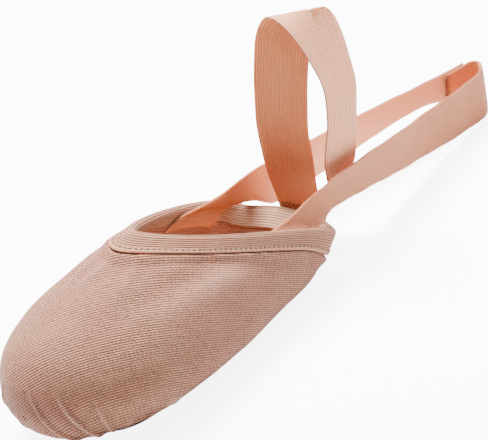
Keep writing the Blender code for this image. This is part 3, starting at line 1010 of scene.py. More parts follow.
@dataclass
class Pouch:
    """The stretch canvas pouch round the forefoot.

    slack gives the height, wave length and seed of its uneven waves; puff is how far the canvas
    stands out just below the binding, between puff_start and puff_end down from the rim.
    """

    wall: float = 1.3
    rings: int = 200
    around: int = 320
    inner_rings: int = 64
    toe_centre: float = 35.0
    pleats: tuple[Pleat, ...] = (
        Pleat(12.0, 0.58, 1.6, 33.0),
        Pleat(28.0, 0.58, 1.7, 32.0),
        Pleat(44.0, 0.20, 1.0, 28.0),
        Pleat(76.0, 0.10, 0.50, 20.0, 1.2),
        Pleat(-4.0, -0.50, 0.70, 28.0),
        Pleat(-21.0, -0.55, 1.15, 31.0),
        Pleat(-36.0, -0.40, 0.80, 30.0),
        Pleat(-52.0, -0.30, 0.70, 25.0),
        Pleat(-70.0, -0.10, 0.50, 21.0),
    )
    folds: tuple[Fold, ...] = (
        Fold((-23.0, 28.0, 35.5), (9.6, 29.7, 41.7), 0.95, 4.6),
        Fold((9.6, 29.7, 41.7), (30.0, 27.5, 42.0), 0.7, 5.5),
        Fold((-3.0, 25.2, 44.3), (15.5, 23.7, 47.2), -1.2, 4.2),
        Fold((15.5, 23.7, 47.2), (42.0, 17.0, 47.0), -0.9, 6.0),
        Fold((-22.0, 34.0, 27.0), (8.0, 36.5, 30.0), -0.5, 5.0),
        Fold((-4.0, 37.0, 20.0), (24.0, 37.5, 22.0), -0.5, 5.0),
        Fold((-14.0, -27.0, 40.0), (14.0, -26.0, 45.0), -0.6, 2.8),
        Fold((-30.0, -30.0, 31.0), (2.0, -34.0, 34.0), -0.5, 3.4),
        Fold((15.0, -19.0, 52.0), (33.0, -20.0, 47.0), 0.7, 1.3),
        Fold((17.0, -15.0, 53.5), (35.0, -15.0, 48.5), -0.6, 1.5),
        Fold((17.0, -11.0, 54.5), (38.0, -11.0, 48.0), 0.8, 1.3),
        Fold((19.0, -7.0, 55.0), (36.0, -7.0, 49.5), -0.6, 1.5),
        Fold((17.0, -2.0, 56.5), (34.0, -2.5, 51.5), 0.6, 1.4),
        Fold((17.0, 3.0, 56.5), (31.0, 3.5, 52.5), -0.45, 1.8),
        Fold((14.0, 10.0, 55.0), (27.0, 13.0, 51.0), 0.35, 2.0),
        Fold((52.5, 29.6, 12.5), (53.0, 28.6, 8.5), 1.8, 1.6),
        Fold((48.0, 31.5, 9.5), (41.0, 33.5, 8.5), -1.4, 2.6),
        Fold((38.0, 35.0, 12.0), (30.0, 36.2, 9.5), 1.9, 2.6),
        Fold((26.0, 36.0, 9.0), (12.0, 36.0, 9.0), -0.8, 3.5),
        Fold((44.0, -32.0, 10.0), (35.0, -35.0, 10.0), 1.2, 3.0),
    )
    puff: float = 1.35
    puff_start: float = 10.2
    puff_end: float = 17.0
    slack: tuple[tuple[float, float, int], ...] = ((0.22, 26.0, 5), (0.08, 9.0, 8))
    pleat_level: float = 24.0
    pleat_reach: float = 60.0
    hollow_width: float = 3.6
    hollow_share: float = 0.55
    fold_ends: float = 0.35
    # Share of each fold's height that is painted as highlight on its ridge and as shade in its hollow.
    fold_light_paint: float = 0.35
    lining_share: float = 0.85
    crowding: float = 0.92

    def relief(self, points: Array) -> tuple[Array, Array]:
        """How far pleats, folds and slack push the canvas out.

        Args:
            points: places on the skin, ring by ring up to the rim.

        Returns:
            Millimetres along the normal, and the painted highlight and shade of the pleats and folds, from
            -1 in a hollow to 1 on a crest.
        """
        x, y, z = (points[..., k] for k in range(3))
        radius = np.hypot(x - self.toe_centre, y)
        turn = np.degrees(np.arctan2(y, x - self.toe_centre))
        total = sum(height * ripple(points, size, seed) for height, size, seed in self.slack)
        # The second sum is painted light: pleat crests and fold ridges are painted lighter, and their
        # hollows painted darker.
        tuck = np.zeros_like(total)
        for pleat in self.pleats:
            off = np.radians(turn - pleat.turn - pleat.lean * (self.pleat_level - z)) * radius
            fade = ease(z, pleat.top + 3.0, pleat.top - 9.0) * ease(z, 3.5, 7.0) * ease(radius, 3.0, 10.0)
            fade = fade * (np.abs(turn - pleat.turn) < self.pleat_reach)
            shape = bell(off, pleat.width) - self.hollow_share * bell(off, self.hollow_width)
            bend = pleat.height * fade * shape
            total = total + bend
            tuck = tuck + bend
        for fold in self.folds:
            a, b = np.array(fold.start), np.array(fold.end)
            t = np.clip((points - a) @ (b - a) / ((b - a) @ (b - a)), 0, 1)
            gap = np.linalg.norm(points - (a + t[..., None] * (b - a)), axis=-1)
            taper = self.fold_ends + (1 - self.fold_ends) * np.sin(np.pi * t)
            bend = fold.height * bell(gap, fold.width) * taper
            total = total + bend
            tuck = tuck + self.fold_light_paint * bend
        steps = np.linalg.norm(np.diff(points, axis=0), axis=-1)
        below = np.concatenate([np.cumsum(steps[::-1], axis=0)[::-1], np.zeros_like(z[:1])])
        # Under the binding the canvas is flat; just below its edge it stands out to the binding's face.
        total = total * ease(below, self.puff_start - 0.6, self.puff_start + 3.0)
        swell = ease(below, self.puff_start, self.puff_start + 1.0)
        total = total + self.puff * swell * ease(below, self.puff_end, self.puff_start + 1.2)
        quiet = ease(z, 3.0, 8.0)
        return total * quiet, np.clip(tuck * quiet, -1, 1)

    @staticmethod
    def cloth_place(points: Array) -> Array:
        """Pattern coordinates: millimetres across the ribs and along them.

        The ribs bend over the toe and run back and down beside the collar, as the canvas was cut.

        Args:
            points: places on the canvas.

        Returns:
            Two coordinates for each place.
        """
        x, y, z = (points[..., k] for k in range(3))
        across = 0.400 * x + 0.435 * y - 0.999 * z
        across = across + 0.1 * (-0.0137 * x * x - 0.0043 * y * y + 0.0205 * z * z + 0.0363 * x * y
                                 + 0.0150 * x * z - 0.0199 * y * z)
        return np.stack([across, -0.80 * x + 0.55 * y + 0.12 * z], -1)

    def rings_at(self, count: int) -> Array:
        """Stations of the rings, closer together at the collar."""
        return (np.linspace(0, 1, count + 1)[1:] ** self.crowding)[:, None]

    def build(self, canvas: Material, lining: Material) -> Item:
        """The outer canvas and the lining a wall inside it, closed at the rim.

        Args:
            canvas: material of the outside and the rim.
            lining: material of the inside.

        Returns:
            The pouch as one mesh piece.
        """
        draft = MeshDraft("canvas_pouch")
        angles = LAST.even_angles(self.around)
        out_at, in_at = self.rings_at(self.rings), self.rings_at(self.inner_rings)
        base, hidden = LAST.skin(out_at, angles), LAST.skin(in_at, angles)
        push, tuck = self.relief(base)
        outer = base + push[..., None] * LAST.normal(out_at, angles)
        lift = self.lining_share * self.relief(hidden)[0] - self.wall
        inner = hidden + lift[..., None] * LAST.normal(in_at, angles)
        tip = LAST.skin(0.0, 0.0) + [float(push[0].mean()), 0, 0]
        rims = []
        for slot, points, values in ((0, outer, tuck), (1, inner, 0.0)):
            nose = tip - [slot * self.wall, 0, 0]
            pole = draft.add_points(nose[None], tuck=0.0)
            first = draft.add_points(points, tuck=values)
            uv = self.cloth_place(points)
            draft.add_grid(first, uv, closed=True, flip=slot == 0, slot=slot)
            draft.add_fan(pole, first, self.cloth_place(nose), uv[0], flip=slot == 1, slot=slot)
            rims.append(first + (len(points) - 1) * self.around + np.arange(self.around))
        a, b = rims
        rim = np.stack([a, np.roll(a, -1), np.roll(b, -1), b], 1)
        draft.add_faces(rim, np.zeros((self.around, 4, 2)))
        return draft.make([canvas, lining])


@dataclass
class CollarBinding:
    """Ribbed elastic folded over the rim and sewn down near its lower edge."""

    wall: float = LAYERS.wall
    gap: float = LAYERS.gap
    thick: float = LAYERS.binding
    outer_height: float = 10.0
    inner_height: float = 8.5
    selvedge: float = 2.7
    rib_pitch: float = 1.15
    rib_height: float = 0.26
    around: int = 300
    out_rows: int = 44
    in_rows: int = 30
    fold_rows: int = 25
    stitch_up: float = 2.0
    stitch_sunk: float = 0.16
    pinch: float = 0.30
    rolled: float = 0.45
    pulled: float = 0.06
    pull_every: float = 3.6

    def section(self, angle: float) -> tuple[Array, Array, Array]:
        """The fold at one place on the rim: its faces out and in, and the way they face.

        Args:
            angle: place round the rim.

        Returns:
            The outer face, the hidden face and the outward directions, row by row.
        """
        low = self.thick * 2 / 3
        down_out = LAST.station_below(angle, np.linspace(self.outer_height, low, self.out_rows))[:-1]
        down_in = LAST.station_below(angle, np.linspace(low, self.inner_height, self.in_rows))[1:]
        rim, n_rim = LAST.skin(1.0, angle), LAST.normal(1.0, angle)
        n_out, n_in = LAST.normal(down_out, angle), LAST.normal(down_in, angle)
        up = LAST.rise(angle)
        up = unit(up - n_rim * (up @ n_rim))
        middle = rim - 0.5 * self.wall * n_rim - 0.15 * self.wall * up
        arc = np.linspace(0, np.pi, self.fold_rows)[:, None]
        spin = np.cos(arc) * n_rim + np.sin(arc) * up
        far, near = (np.concatenate([LAST.skin(down_out, angle) + off * n_out,
                                     middle + (0.5 * self.wall + off) * spin,
                                     LAST.skin(down_in, angle) - (self.wall + off) * n_in])
                     for off in (self.gap + self.thick, self.gap))
        return far, near, np.concatenate([n_out, spin, -n_in])

    def build(self, elastic: Material, selvedge: Material) -> Item:
        """The ribbed fold as one closed mesh; its rows run round the rim, its columns round the fold.

        Args:
            elastic: material of the ribs.
            selvedge: material below the seam.

        Returns:
            The binding as one mesh piece.
        """
        sections = [self.section(a) for a in LAST.even_angles(self.around)]
        far, near, facing = (np.array(part) for part in zip(*sections))
        up = np.array([run_length(row) for row in far])
        top = up[:, -1:]
        high = self.out_rows - 4
        round_rim = run_length(np.concatenate([far[:, high], far[:1, high]]))
        count = far.shape[1]
        # The ribs start above the seam, and both edges are eased into a small roll.
        gain = ease(up, self.selvedge - 0.3, self.selvedge + 0.3) * ease(top - up, 0.6, 1.4)
        roll = self.rolled * (1 - ease(np.minimum(up, top - up), 0.0, 0.55))
        pinch = self.pinch * bell(up - self.stitch_up, 0.45) + roll
        pull = self.pulled * np.sin(round_rim[:-1] * 2 * math.pi / self.pull_every)
        wave = pull[:, None] * bell(up - self.stitch_up, 1.2)
        far = far - (pinch + wave)[..., None] * facing
        loop = np.concatenate([far, near[:, ::-2]], 1)
        inner_leg = ease(up, top - self.inner_height - 1.0, top - self.inner_height + 1.0)

        def cover(values: Array) -> Array:
            """Values of the outer face, and 0 on the hidden one."""
            return np.concatenate([values, np.zeros((self.around, loop.shape[1] - count))], 1)

        uv = np.zeros(loop.shape[:2] + (2,))
        uv[:, :count, 0] = up - self.selvedge - 0.5 * self.rib_pitch
        uv[:, count:, 0] = up[:, ::-2]
        uv[..., 1] = round_rim[:-1, None]
        draft = MeshDraft("ribbed_collar_binding")
        # The inner leg is painted paler as a painted highlight where it faces the light, and its ribs are
        # lower.
        first = draft.add_points(loop, rib_count=cover((up - self.selvedge) / self.rib_pitch),
                                 rib_gain=cover(gain * (1 - 0.7 * inner_leg)), tuck=cover(inner_leg),
                                 inner_side=cover(np.where(up < self.selvedge, 1.0, 0.0)))
        draft.add_grid(first, uv, closed=True, ring=True, wrap=round_rim[-1])
        return run_tree(draft.make(), ribbed_elastic_tree(), Rib_Height=self.rib_height * MM,
                        Outer=elastic, Inner=selvedge)

    def seam_line(self, ahead: float = 0.0, sunk: float = 0.0) -> tuple[Array, Array]:
        """The stitch line on the outside.

        Args:
            ahead: how far along the line its start is moved.
            sunk: how much deeper it lies.

        Returns:
            Its points and the way the cloth faces there.
        """
        points, facing = [], []
        for angle in LAST.even_angles(180):
            at = LAST.station_below(angle, self.outer_height - self.stitch_up)
            facing.append(LAST.normal(at, angle))
            lift = self.gap + self.thick - self.stitch_sunk - sunk
            points.append(LAST.skin(at, angle) + lift * facing[-1])
        both = np.concatenate([points, facing], 1)
        both = np.concatenate([both, both[:1]])
        run = run_length(both[:, :3])
        moved = np.stack([np.interp(run[:-1] + ahead, run, column, period=run[-1]) for column in both.T], 1)
        return moved[:, :3], unit(moved[:, 3:])


class Aim(Enum):
    """Which way a strap's width is aimed at its free stations."""

    UP = "up"
    SIDE = "side"

    def direction(self, first: float, second: float) -> Array:
        """Width direction from the station's two angles in degrees.

        Args:
            first: turn of the width.
            second: tilt of the width.

        Returns:
            A direction of length 1.
        """
        a, b = math.radians(first), math.radians(second)
        if self is Aim.UP:
            return np.array([math.sin(a) * math.cos(b), math.sin(b), math.cos(a) * math.cos(b)])
        return np.array([-math.sin(a) * math.cos(b), math.cos(a) * math.cos(b), math.sin(b)])


@dataclass(frozen=True)
class Seat:
    """Where a strap's end is sewn: between two places on the rim, at a distance from the wall."""

    places: tuple[float, float]
    offset: float
    depths: tuple[float, ...] = (12.0, 6.0, 0.5)

    def rows(self, count: int) -> list[Array]:
        """Rows of points that follow the wall; a depth below zero stands above the rim.

        Args:
            count: points in each row.

        Returns:
            One row for each depth.
        """
        angle = np.array([LAST.seat_angle(v) for v in np.linspace(*self.places, count)])
        rise = unit(LAST.rise(angle))
        rows = []
        for depth in self.depths:
            at = np.array([LAST.station_below(a, max(depth, 0.0)) for a in angle])
            out = self.offset * LAST.normal(at, angle)
            rows.append(LAST.skin(at, angle) + out + max(-depth, 0.0) * rise)
        return rows


@dataclass
class ElasticStrap:
    """A flat ribbed elastic through its stations, sewn to the collar at one or both ends.

    The last field is the stretch, in millimetres from the seat, over which the inner face is painted paler:
    a painted highlight where the strap stands free in the light.
    """

    name: str
    stations: tuple[tuple[float, float, float, float, float], ...]
    aim: Aim
    start: Seat | None = None
    end: Seat | None = None
    width: float = 23.0
    thick: float = LAYERS.strap
    ribs: int = 21
    rib_height: float = 0.13
    across: int = 127
    steps: int = 11
    shares: int = 5
    flutter: float = 0.25
    flutter_reach: float = 2.5
    flutter_ends: tuple[float, float] = (6.0, 20.0)
    relaxed: int = 10
    rounded: float = 0.5
    lit_run: tuple[float, float] | None = None

    def sheet(self) -> Array:
        """The middle surface, stations by points across.

        Returns:
            Points in millimetres.
        """
        share = np.linspace(-1, 1, self.shares)
        rows = self.start.rows(self.shares) if self.start else []
        for back, side, high, first, second in self.stations:
            centre = np.array([LAST.toe_ahead - back * LAST.whole_length, side * LAST.pouch_width / 2,
                               high * LAST.loop_height])
            rows.append(centre + share[:, None] * self.width / 2 * self.aim.direction(first, second))
        if self.end:
            rows += self.end.rows(self.shares)[::-1]
        rows = np.array(rows)
        long = blend_rows(rows, np.linspace(0, len(rows) - 1, (len(rows) - 1) * self.steps + 1))
        fine = blend_rows(long.transpose(1, 0, 2), np.linspace(0, self.shares - 1, self.across))
        sheet = fine.transpose(1, 0, 2).copy()
        for _ in range(self.relaxed):
            sheet[1:-1] += (sheet[:-2] - 2 * sheet[1:-1] + sheet[2:]) / 4
        return sheet

    @staticmethod
    def faces_out(sheet: Array) -> Array:
        """Normals of a sheet of points."""
        return unit(np.cross(np.gradient(sheet, axis=0), np.gradient(sheet, axis=1)))

    def build(self, outer: Material, inner: Material) -> Item:
        """The strap with round ribs on both faces and soft selvedges.

        Args:
            outer: material of the top face.
            inner: material of the other face.

        Returns:
            The strap as one mesh piece.
        """
        sheet = self.sheet()
        normal = self.faces_out(sheet)
        rows, cols = sheet.shape[:2]
        run = run_length(sheet[:, cols // 2])
        ends = np.minimum(run, run[-1] - run)
        share = np.linspace(0, 1, cols)
        edge = np.minimum(share, 1 - share) * self.width
        free = ease(run, *self.flutter_ends) * ease(run[-1] - run, *self.flutter_ends)
        wave = free * (np.sin(run / 7.3 + 1.0) + 0.6 * np.sin(run / 3.1))
        bent = self.flutter * wave[:, None] * np.exp(-edge / self.flutter_reach)
        sheet = sheet + bent[..., None] * normal
        half = (self.thick / 2 - self.rib_height * 0.8) * round_off(edge, self.rounded, 0.08)
        thin = round_off(ends, self.rounded, 0.3)
        offset = (thin[:, None] * half[None])[..., None] * normal
        pitch = self.width / self.ribs
        uv = np.stack(np.broadcast_arrays(share[None] * self.width - 0.5 * pitch, run[:, None]), -1)
        gains = ease(edge, 0.8, 1.4)[None] * ease(ends, 0.3, 1.0)[:, None]
        # Painted highlight on the inner face, rising along the stretch away from the seat.
        pale = np.zeros((rows, 1))
        if self.lit_run:
            pale = ease(run if self.start else run[-1] - run, *self.lit_run)[:, None]
        draft = MeshDraft(self.name)
        starts = []
        for inside, way in enumerate((1, -1)):
            starts.append(draft.add_points(sheet + way * offset, rib_count=share * self.ribs,
                                           rib_gain=gains, inner_side=float(inside), tuck=pale * inside))
            draft.add_grid(starts[-1], uv, flip=way == -1)
        index = np.arange(rows * cols).reshape(rows, cols)
        border = np.concatenate([index[:, 0], index[-1, 1:], index[-2::-1, -1], index[0, -2:0:-1]])
        after = np.roll(border, -1)
        flat = uv.reshape(-1, 2)
        quads = np.stack([after + starts[0], border + starts[0], border + starts[1], after + starts[1]], 1)
        draft.add_faces(quads, np.stack([flat[after], flat[border], flat[border], flat[after]], 1))
        return run_tree(draft.make(), ribbed_elastic_tree(), Rib_Height=self.rib_height * MM,
                        Outer=outer, Inner=inner)

    def line_across(self, along: float, side: int, margin: float = 0.04,
                    count: int = 40) -> tuple[Array, Array]:
        """A straight line across the strap's face.

        Args:
            along: share of the strap's length.
            side: 1 for the top face, -1 for the other.
            margin: share of the width that is left at each edge.
            count: number of points.

        Returns:
            Its points and the way the strap faces there.
        """
        sheet = self.sheet()
        normal = self.faces_out(sheet)
        row = round(along * (sheet.shape[0] - 1))
        col = (np.linspace(margin, 1 - margin, count) * (sheet.shape[1] - 1)).round().astype(int)
        out = side * normal[row, col]
        return sheet[row, col] + (self.thick / 2 + 0.05) * out, out


@dataclass
class SolePatch:
    """A flat patch with the half sole outline, its edge eased."""

    name: str
    half_length: float
    half_width: float
    low: float
    high: float
    ease_edge: float
    groove_in: float
    groove_depth: float
    seed: int
    uneven: float = 0.1
    around: int = 180
    groove_steps: tuple[float, ...] = (-1.2, -0.6, -0.2, 0.2, 0.6, 1.2)
    inner_steps: tuple[float, ...] = (6.0, 8.5, 11.0, 13.5, 16.0, 18.5)

    def outline(self, inset: float) -> Array:
        """The outline in plan, drawn in by an inset.

        Args:
            inset: how far it is drawn in.

        Returns:
            A closed ring of points from the back.
        """
        t = np.linspace(0, 1, self.around // 2 + 1)
        plan = np.asarray(SOLE_PLAN)[:, None]
        share = blend_rows(plan, t * (len(plan) - 1), -plan[1], -plan[-2])[:, 0]
        side = np.stack([-self.half_length * np.cos(t * np.pi), self.half_width * np.maximum(share, 0)], 1)
        ring = np.concatenate([side, (side * [1, -1])[-2:0:-1]])
        return ring * (1 - inset / np.linalg.norm(ring, axis=1, keepdims=True))

    def seam_line(self, on_top: bool) -> tuple[Array, Array]:
        """The line of the groove and the way it faces, on the top or underneath.

        Args:
            on_top: whether it lies on the top.

        Returns:
            Its points and directions.
        """
        ring = self.outline(self.groove_in)
        level = self.high - self.groove_depth if on_top else self.low + 1.5 * self.groove_depth
        facing = np.tile([0.0, 0.0, 1.0 if on_top else -1.0], (len(ring), 1))
        return np.concatenate([ring, np.full((len(ring), 1), level)], 1), facing

    def build(self, material: Material) -> Item:
        """The patch as one closed mesh with a sewn groove near its edge.

        Args:
            material: material of the whole patch.

        Returns:
            The patch as one mesh piece.
        """
        groove = [self.groove_in + step for step in self.groove_steps]
        insets = [0.0, self.ease_edge * 0.3, self.ease_edge, *groove, *self.inner_steps]
        rings = []
        for up, order in ((False, insets), (True, insets[::-1])):
            for inset in order:
                ring = self.outline(inset)
                bow = self.ease_edge * (1 - round_off(inset, self.ease_edge))
                dip = self.groove_depth * bell(inset - self.groove_in, 0.5)
                level = self.high - bow - dip if up else self.low + bow + dip
                spot = np.concatenate([ring, np.full((len(ring), 1), level)], 1)
                wave = ripple(spot * [1, 1, 3], 5.0, self.seed)
                worn = self.uneven * 0.5 * (wave - 1 if up else wave + 1)
                spot[:, 2] = np.clip(spot[:, 2] + worn, self.low, self.high)
                frayed = self.uneven * math.exp(-inset / 0.8) * (wave - 1) / 24.0
                spot[:, :2] *= 1 + frayed[:, None]
                rings.append(spot)
        rings = np.array(rings)
        draft = MeshDraft(self.name)
        first = draft.add_points(rings)
        draft.add_grid(first, rings[..., :2], closed=True)
        for row, flip in ((0, False), (len(rings) - 1, True)):
            hub = draft.add_points(rings[row].mean(0)[None])
            draft.add_fan(hub, first + row * self.around, np.zeros(2), rings[row][:, :2], flip)
        return draft.make([material])


@dataclass
class PhotoStage:
    """Pale floor, soft light and the camera at the photograph's angle."""

    target: tuple[float, float, float] = (3.0, 0.0, 27.0)
    turn: float = 51.9
    rise: float = 30.9
    roll: float = 15.2
    distance: float = 800.0
    pixels_per_mm: float = 2.557
    target_pixel: tuple[float, float] = (154.75, 302.4)
    frame: tuple[int, int] = (488, 440)
    sensor: float = 36.0
    floor_half: float = 3000.0
    floor_level: float = -0.15
    room_light: float = 0.20
    lit_point: tuple[float, float, float] = (-0.03, 0.0, 0.03)

    def camera(self) -> None:
        """The camera, aimed past the target so that the frame matches the photograph."""
        a, e, r = (math.radians(v) for v in (self.turn, self.rise, self.roll))
        away = np.array([math.cos(e) * math.cos(a), math.cos(e) * math.sin(a), math.sin(e)])
        flat = np.array([-math.sin(a), math.cos(a), 0.0])
        level = np.cross(away, flat)
        right = flat * math.cos(r) - level * math.sin(r)
        upward = flat * math.sin(r) + level * math.cos(r)
        eye = np.array(self.target) + away * self.distance
        over = (self.frame[0] / 2 - self.target_pixel[0]) / self.pixels_per_mm
        above = (self.target_pixel[1] - self.frame[1] / 2) / self.pixels_per_mm
        look = unit(-away * self.distance + over * right + above * upward)
        right = unit(right - look * (right @ look))
        upward = np.cross(right, look)
        data = bpy.data.cameras.new("camera")
        data.sensor_width = self.sensor
        data.lens = self.pixels_per_mm * self.distance * self.sensor / self.frame[0]
        data.clip_start = 0.05
        data.clip_end = 20.0
        item = linked("camera", data)
        matrix = Matrix.Identity(4)
        for k in range(3):
            matrix[k] = (right[k], upward[k], -look[k], eye[k] * MM)
        item.matrix_world = matrix
        bpy.context.scene.camera = item

    def floor(self) -> None:
        """A wide pale floor just under the sole."""
        draft = MeshDraft("studio_floor")
        edge = np.linspace(-self.floor_half, self.floor_half, 13)
        x, y = np.meshgrid(edge, edge, indexing="ij")
        points = np.stack([x, y, np.full_like(x, self.floor_level)], -1)
        draft.add_grid(draft.add_points(points), points[..., :2])
        material = bpy.data.materials.new("studio_floor")
        material.use_nodes = True
        s = NodeSketch(material.node_tree)
        pale = s.noise(s.node("ShaderNodeTexCoord").outputs["Object"], 3.0)
        seen = s.node("ShaderNodeLightPath").outputs["Is Camera Ray"]
        s.put(material.node_tree.nodes["Principled BSDF"], Roughness=0.9, Specular_IOR_Level=0.1,
              Base_Color=s.blend(pale, (0.93, 0.93, 0.93), (0.95, 0.95, 0.95)),
              Emission_Color=(1.0, 1.0, 1.0, 1.0), Emission_Strength=s.spread(seen, 6.0, 0.10))
        draft.make([material])

    def lights(self) -> None:
        """A broad light above, a weaker one on the far side, a small one by the loop, and a dim room."""
        world = bpy.data.worlds.new("studio_room")
        bpy.context.scene.world = world
        world.use_nodes = True
        back = world.node_tree.nodes["Background"]
        back.inputs["Color"].default_value = (1.0, 1.0, 1.0, 1.0)
        back.inputs["Strength"].default_value = self.room_light
        for name, place, size, power in (
            ("key_light", (-0.20, -0.32, 0.94), 0.6, 60.0),
            ("far_light", (0.1, -0.7, 0.8), 0.8, 5.0),
            ("loop_light", (-0.15, 0.08, 0.19), 0.08, 0.42),
        ):
            data = bpy.data.lights.new(name, "AREA")
            data.shape = "DISK"
            data.size = size
            data.energy = power
            item = linked(name, data)
            item.location = place
            way = Vector(self.lit_point) - Vector(place)
            item.rotation_euler = way.to_track_quat("-Z", "Y").to_euler()


STRAP_CLOTH = RibbedCloth("strap_cloth", rib_pitch=23.0 / 21, loop_pitch=0.7, wobble=0.0, loop_scatter=0.3,
                          depth=0.16, glow=0.35)


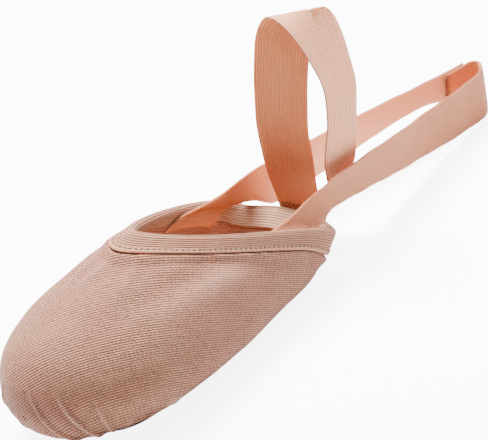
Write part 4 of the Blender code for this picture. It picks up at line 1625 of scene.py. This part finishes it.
@dataclass
class HalfSoleShoe:
    """The dressed shoe: makes every finish once, then every piece in order."""

    canvas: RibbedCloth = RibbedCloth(
        "ribbed_canvas", rib=(0.475, 0.208, 0.119), groove=(0.055, 0.027, 0.019),
        patch=(0.46, 0.165, 0.105), groove_share=0.92, loop_pitch=1.5, loop_share=0.65, fray=0.35)
    lining: RibbedCloth = RibbedCloth(
        "canvas_inside", rib=(0.56, 0.26, 0.16), groove=(0.30, 0.10, 0.055), patch=(0.60, 0.34, 0.235),
        groove_share=0.5)
    # The collar elastic's pale colour is a painted highlight on the binding's inner leg.
    collar: RibbedCloth = RibbedCloth(
        "collar_elastic", rib=(0.49, 0.235, 0.14), groove=(0.085, 0.034, 0.02), patch=(0.48, 0.21, 0.12),
        rib_pitch=1.15, loop_pitch=0.75, wobble=0.0, loop_share=0.45, loop_scatter=0.3, groove_share=0.95,
        depth=0.16, stretch_and_highlight=(0.68, 0.42, 0.27))
    collar_edge: RibbedCloth = RibbedCloth(
        "collar_selvedge", rib=(0.50, 0.245, 0.145), groove=(0.24, 0.10, 0.055), patch=(0.48, 0.20, 0.12),
        rib_pitch=0.7, loop_pitch=0.8, wobble=0.1, groove_share=0.5, depth=0.10)
    # A lighter copy of the sling cloth for the loop's outside: painted light where the loop stands high in
    # the light.
    loop_out: RibbedCloth = replace(
        STRAP_CLOTH, name="loop_outside", rib=(0.92, 0.45, 0.265), groove=(0.20, 0.075, 0.04),
        patch=(0.92, 0.42, 0.235), groove_share=0.75)
    sling_out: RibbedCloth = replace(
        STRAP_CLOTH, name="sling_outside", rib=(0.71, 0.275, 0.142), groove=(0.13, 0.04, 0.018),
        patch=(0.70, 0.245, 0.12), groove_share=0.8)
    # A deeper orange copy of the strap cloth for the inner faces: painted shade and painted bounced light
    # of the orange cloth, painted paler along a lit stretch as a highlight.
    strap_in: RibbedCloth = replace(
        STRAP_CLOTH, name="strap_inside", rib=(0.72, 0.262, 0.108), groove=(0.34, 0.10, 0.036),
        patch=(0.70, 0.23, 0.09), loop_share=0.45, groove_share=0.5, depth=0.14,
        stretch_and_highlight=(1.0, 0.68, 0.47))
    suede: Suede = Suede("sole_suede")
    insole_cloth: BrushedLining = BrushedLining("insole_lining")
    thread: Thread = Thread("tan_thread", (0.50, 0.28, 0.115), (0.24, 0.12, 0.045))
    hole: Thread = Thread("thread_shadow", (0.10, 0.05, 0.03), (0.05, 0.025, 0.015))
    brown: Thread = Thread("brown_thread", (0.30, 0.13, 0.07), (0.14, 0.06, 0.03))

    def keep(self, item: Item, slot: str, *nodes: str) -> None:
        """Tie a piece to the shoe, hide the solids it stands for, and report it.

        Args:
            item: finished piece.
            slot: not used.
            nodes: solids that it replaces.
        """
        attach(item, "root")
        if nodes:
            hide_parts(*nodes)
        triangles = sum(len(p.vertices) - 2 for p in item.data.polygons)
        LOG.info("%s: %d triangles", item.name, triangles)

    def build_collar(self, thread: Material) -> None:
        """The binding with its stitches, and dark beads of painted shade in the needle holes between them.

        Args:
            thread: material of the stitches.
        """
        binding = CollarBinding()
        fold = binding.build(self.collar.make(), self.collar_edge.make())
        self.keep(fold, "collar_binding", "collar_binding")
        seam = StitchRun("collar_stitches", spacing=2.3, length=1.6, radius=0.25, wander=0.12)
        self.keep(seam.sew(*binding.seam_line(), thread, closed=True), "collar_binding")
        # Dark beads between the stitches are painted shade in the needle holes.
        holes = StitchRun("collar_stitch_holes", spacing=seam.spacing, length=1.25, radius=0.4,
                          slant=0.25, wander=0.2)
        line = binding.seam_line(ahead=seam.spacing / 2, sunk=0.02)
        self.keep(holes.sew(*line, self.hole.make(), closed=True), "collar_binding")

    def build_straps(self, thread: Material) -> None:
        """The two sling straps and the instep loop with their seams.

        Args:
            thread: material of the stitches.
        """
        sling_outer, loop_outer_lit = self.sling_out.make(), self.loop_out.make()
        inner, brown = self.strap_in.make(), self.brown.make()
        seats = [Seat((way * 0.300, way * 0.545), LAYERS.inside) for way in (1, -1)]
        left = ElasticStrap("sling_strap_left", SLING_LEFT, Aim.UP, start=seats[0])
        # The right strap's inner face is painted paler along its free stretch, a painted highlight.
        right = ElasticStrap("sling_strap_right", SLING_RIGHT, Aim.UP, end=seats[1], lit_run=(34.0, 66.0))
        standing = (12.0, 6.0, -1.0)
        loop = ElasticStrap("instep_loop_strap", INSTEP_LOOP, Aim.SIDE,
                            start=Seat((-0.090, 0.090), LAYERS.outside, standing),
                            end=Seat((0.090, -0.090), LAYERS.outside + LAYERS.next_strap, standing))
        for strap, outer, node in ((left, sling_outer, "heel_strap_left"),
                                   (right, sling_outer, "heel_strap_right"),
                                   (loop, loop_outer_lit, "instep_loop")):
            self.keep(strap.build(outer, inner), node, node)
        tack = StitchRun("tack", spacing=0.9, length=2.0, radius=0.17, slant=0.95, wander=0.1)
        edge = StitchRun("edge", spacing=2.2, length=1.5, radius=0.2, wander=0.1)
        fray = StitchRun("fray", spacing=0.42, length=2.4, radius=0.1, slant=math.pi / 2, wander=0.35)
        for name, run, strap, at, side, dye, node in (
            ("loop_tack_front", tack, loop, 0.122, -1, brown, "instep_loop"),
            ("loop_tack_back", tack, loop, 0.928, 1, thread, "instep_loop"),
            ("loop_tack_low", tack, loop, 0.985, 1, thread, "instep_loop"),
            ("sling_join_end", tack, left, 0.985, -1, thread, "heel_strap_left"),
            ("sling_join_start", tack, right, 0.015, 1, thread, "heel_strap_right"),
            ("sling_join_middle", tack, right, 0.14, 1, thread, "heel_strap_right"),
            ("sling_seat_left", edge, left, 0.10, -1, thread, "heel_strap_left"),
            ("sling_seat_right", edge, right, 0.885, -1, thread, "heel_strap_right"),
            ("sling_fray_left", fray, left, 0.999, -1, brown, "heel_strap_left"),
        ):
            self.keep(replace(run, name=name).sew(*strap.line_across(at, side), dye), node)

    def build_soles(self, thread: Material) -> None:
        """The suede patch under the ball and the insole, each sewn near its edge.

        Args:
            thread: material of the stitches.
        """
        sole = SolePatch("suede_half_sole", half_length=52.0, half_width=22.0, low=0.0, high=1.5,
                         ease_edge=0.45, groove_in=3.0, groove_depth=0.3, seed=3)
        self.keep(sole.build(self.suede.make()), "outsole", "outsole")
        insole = SolePatch("lined_insole", half_length=45.0, half_width=20.0, low=3.4, high=4.6,
                           ease_edge=0.35, groove_in=2.4, groove_depth=0.15, seed=4)
        self.keep(insole.build(self.insole_cloth.make()), "insole", "insole")
        seam = StitchRun("sole_stitches", spacing=3.0, length=2.3, radius=0.2)
        self.keep(seam.sew(*sole.seam_line(False), self.hole.make(), closed=True), "outsole")
        seam = StitchRun("insole_stitches", spacing=3.0, length=2.2, radius=0.2)
        self.keep(seam.sew(*insole.seam_line(True), thread, closed=True), "insole")

    def build(self) -> None:
        """Make every piece."""
        thread = self.thread.make()
        self.keep(Pouch().build(self.canvas.make(), self.lining.make()), "upper", "upper")
        self.build_collar(thread)
        self.build_straps(thread)
        self.build_soles(thread)


def main() -> None:
    """Load the frame, build the stage and the shoe."""
    logging.basicConfig(level=logging.INFO, format="%(message)s")
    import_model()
    stage = PhotoStage()
    stage.camera()
    stage.floor()
    stage.lights()
    HalfSoleShoe().build()


if __name__ == "__main__":
    main()
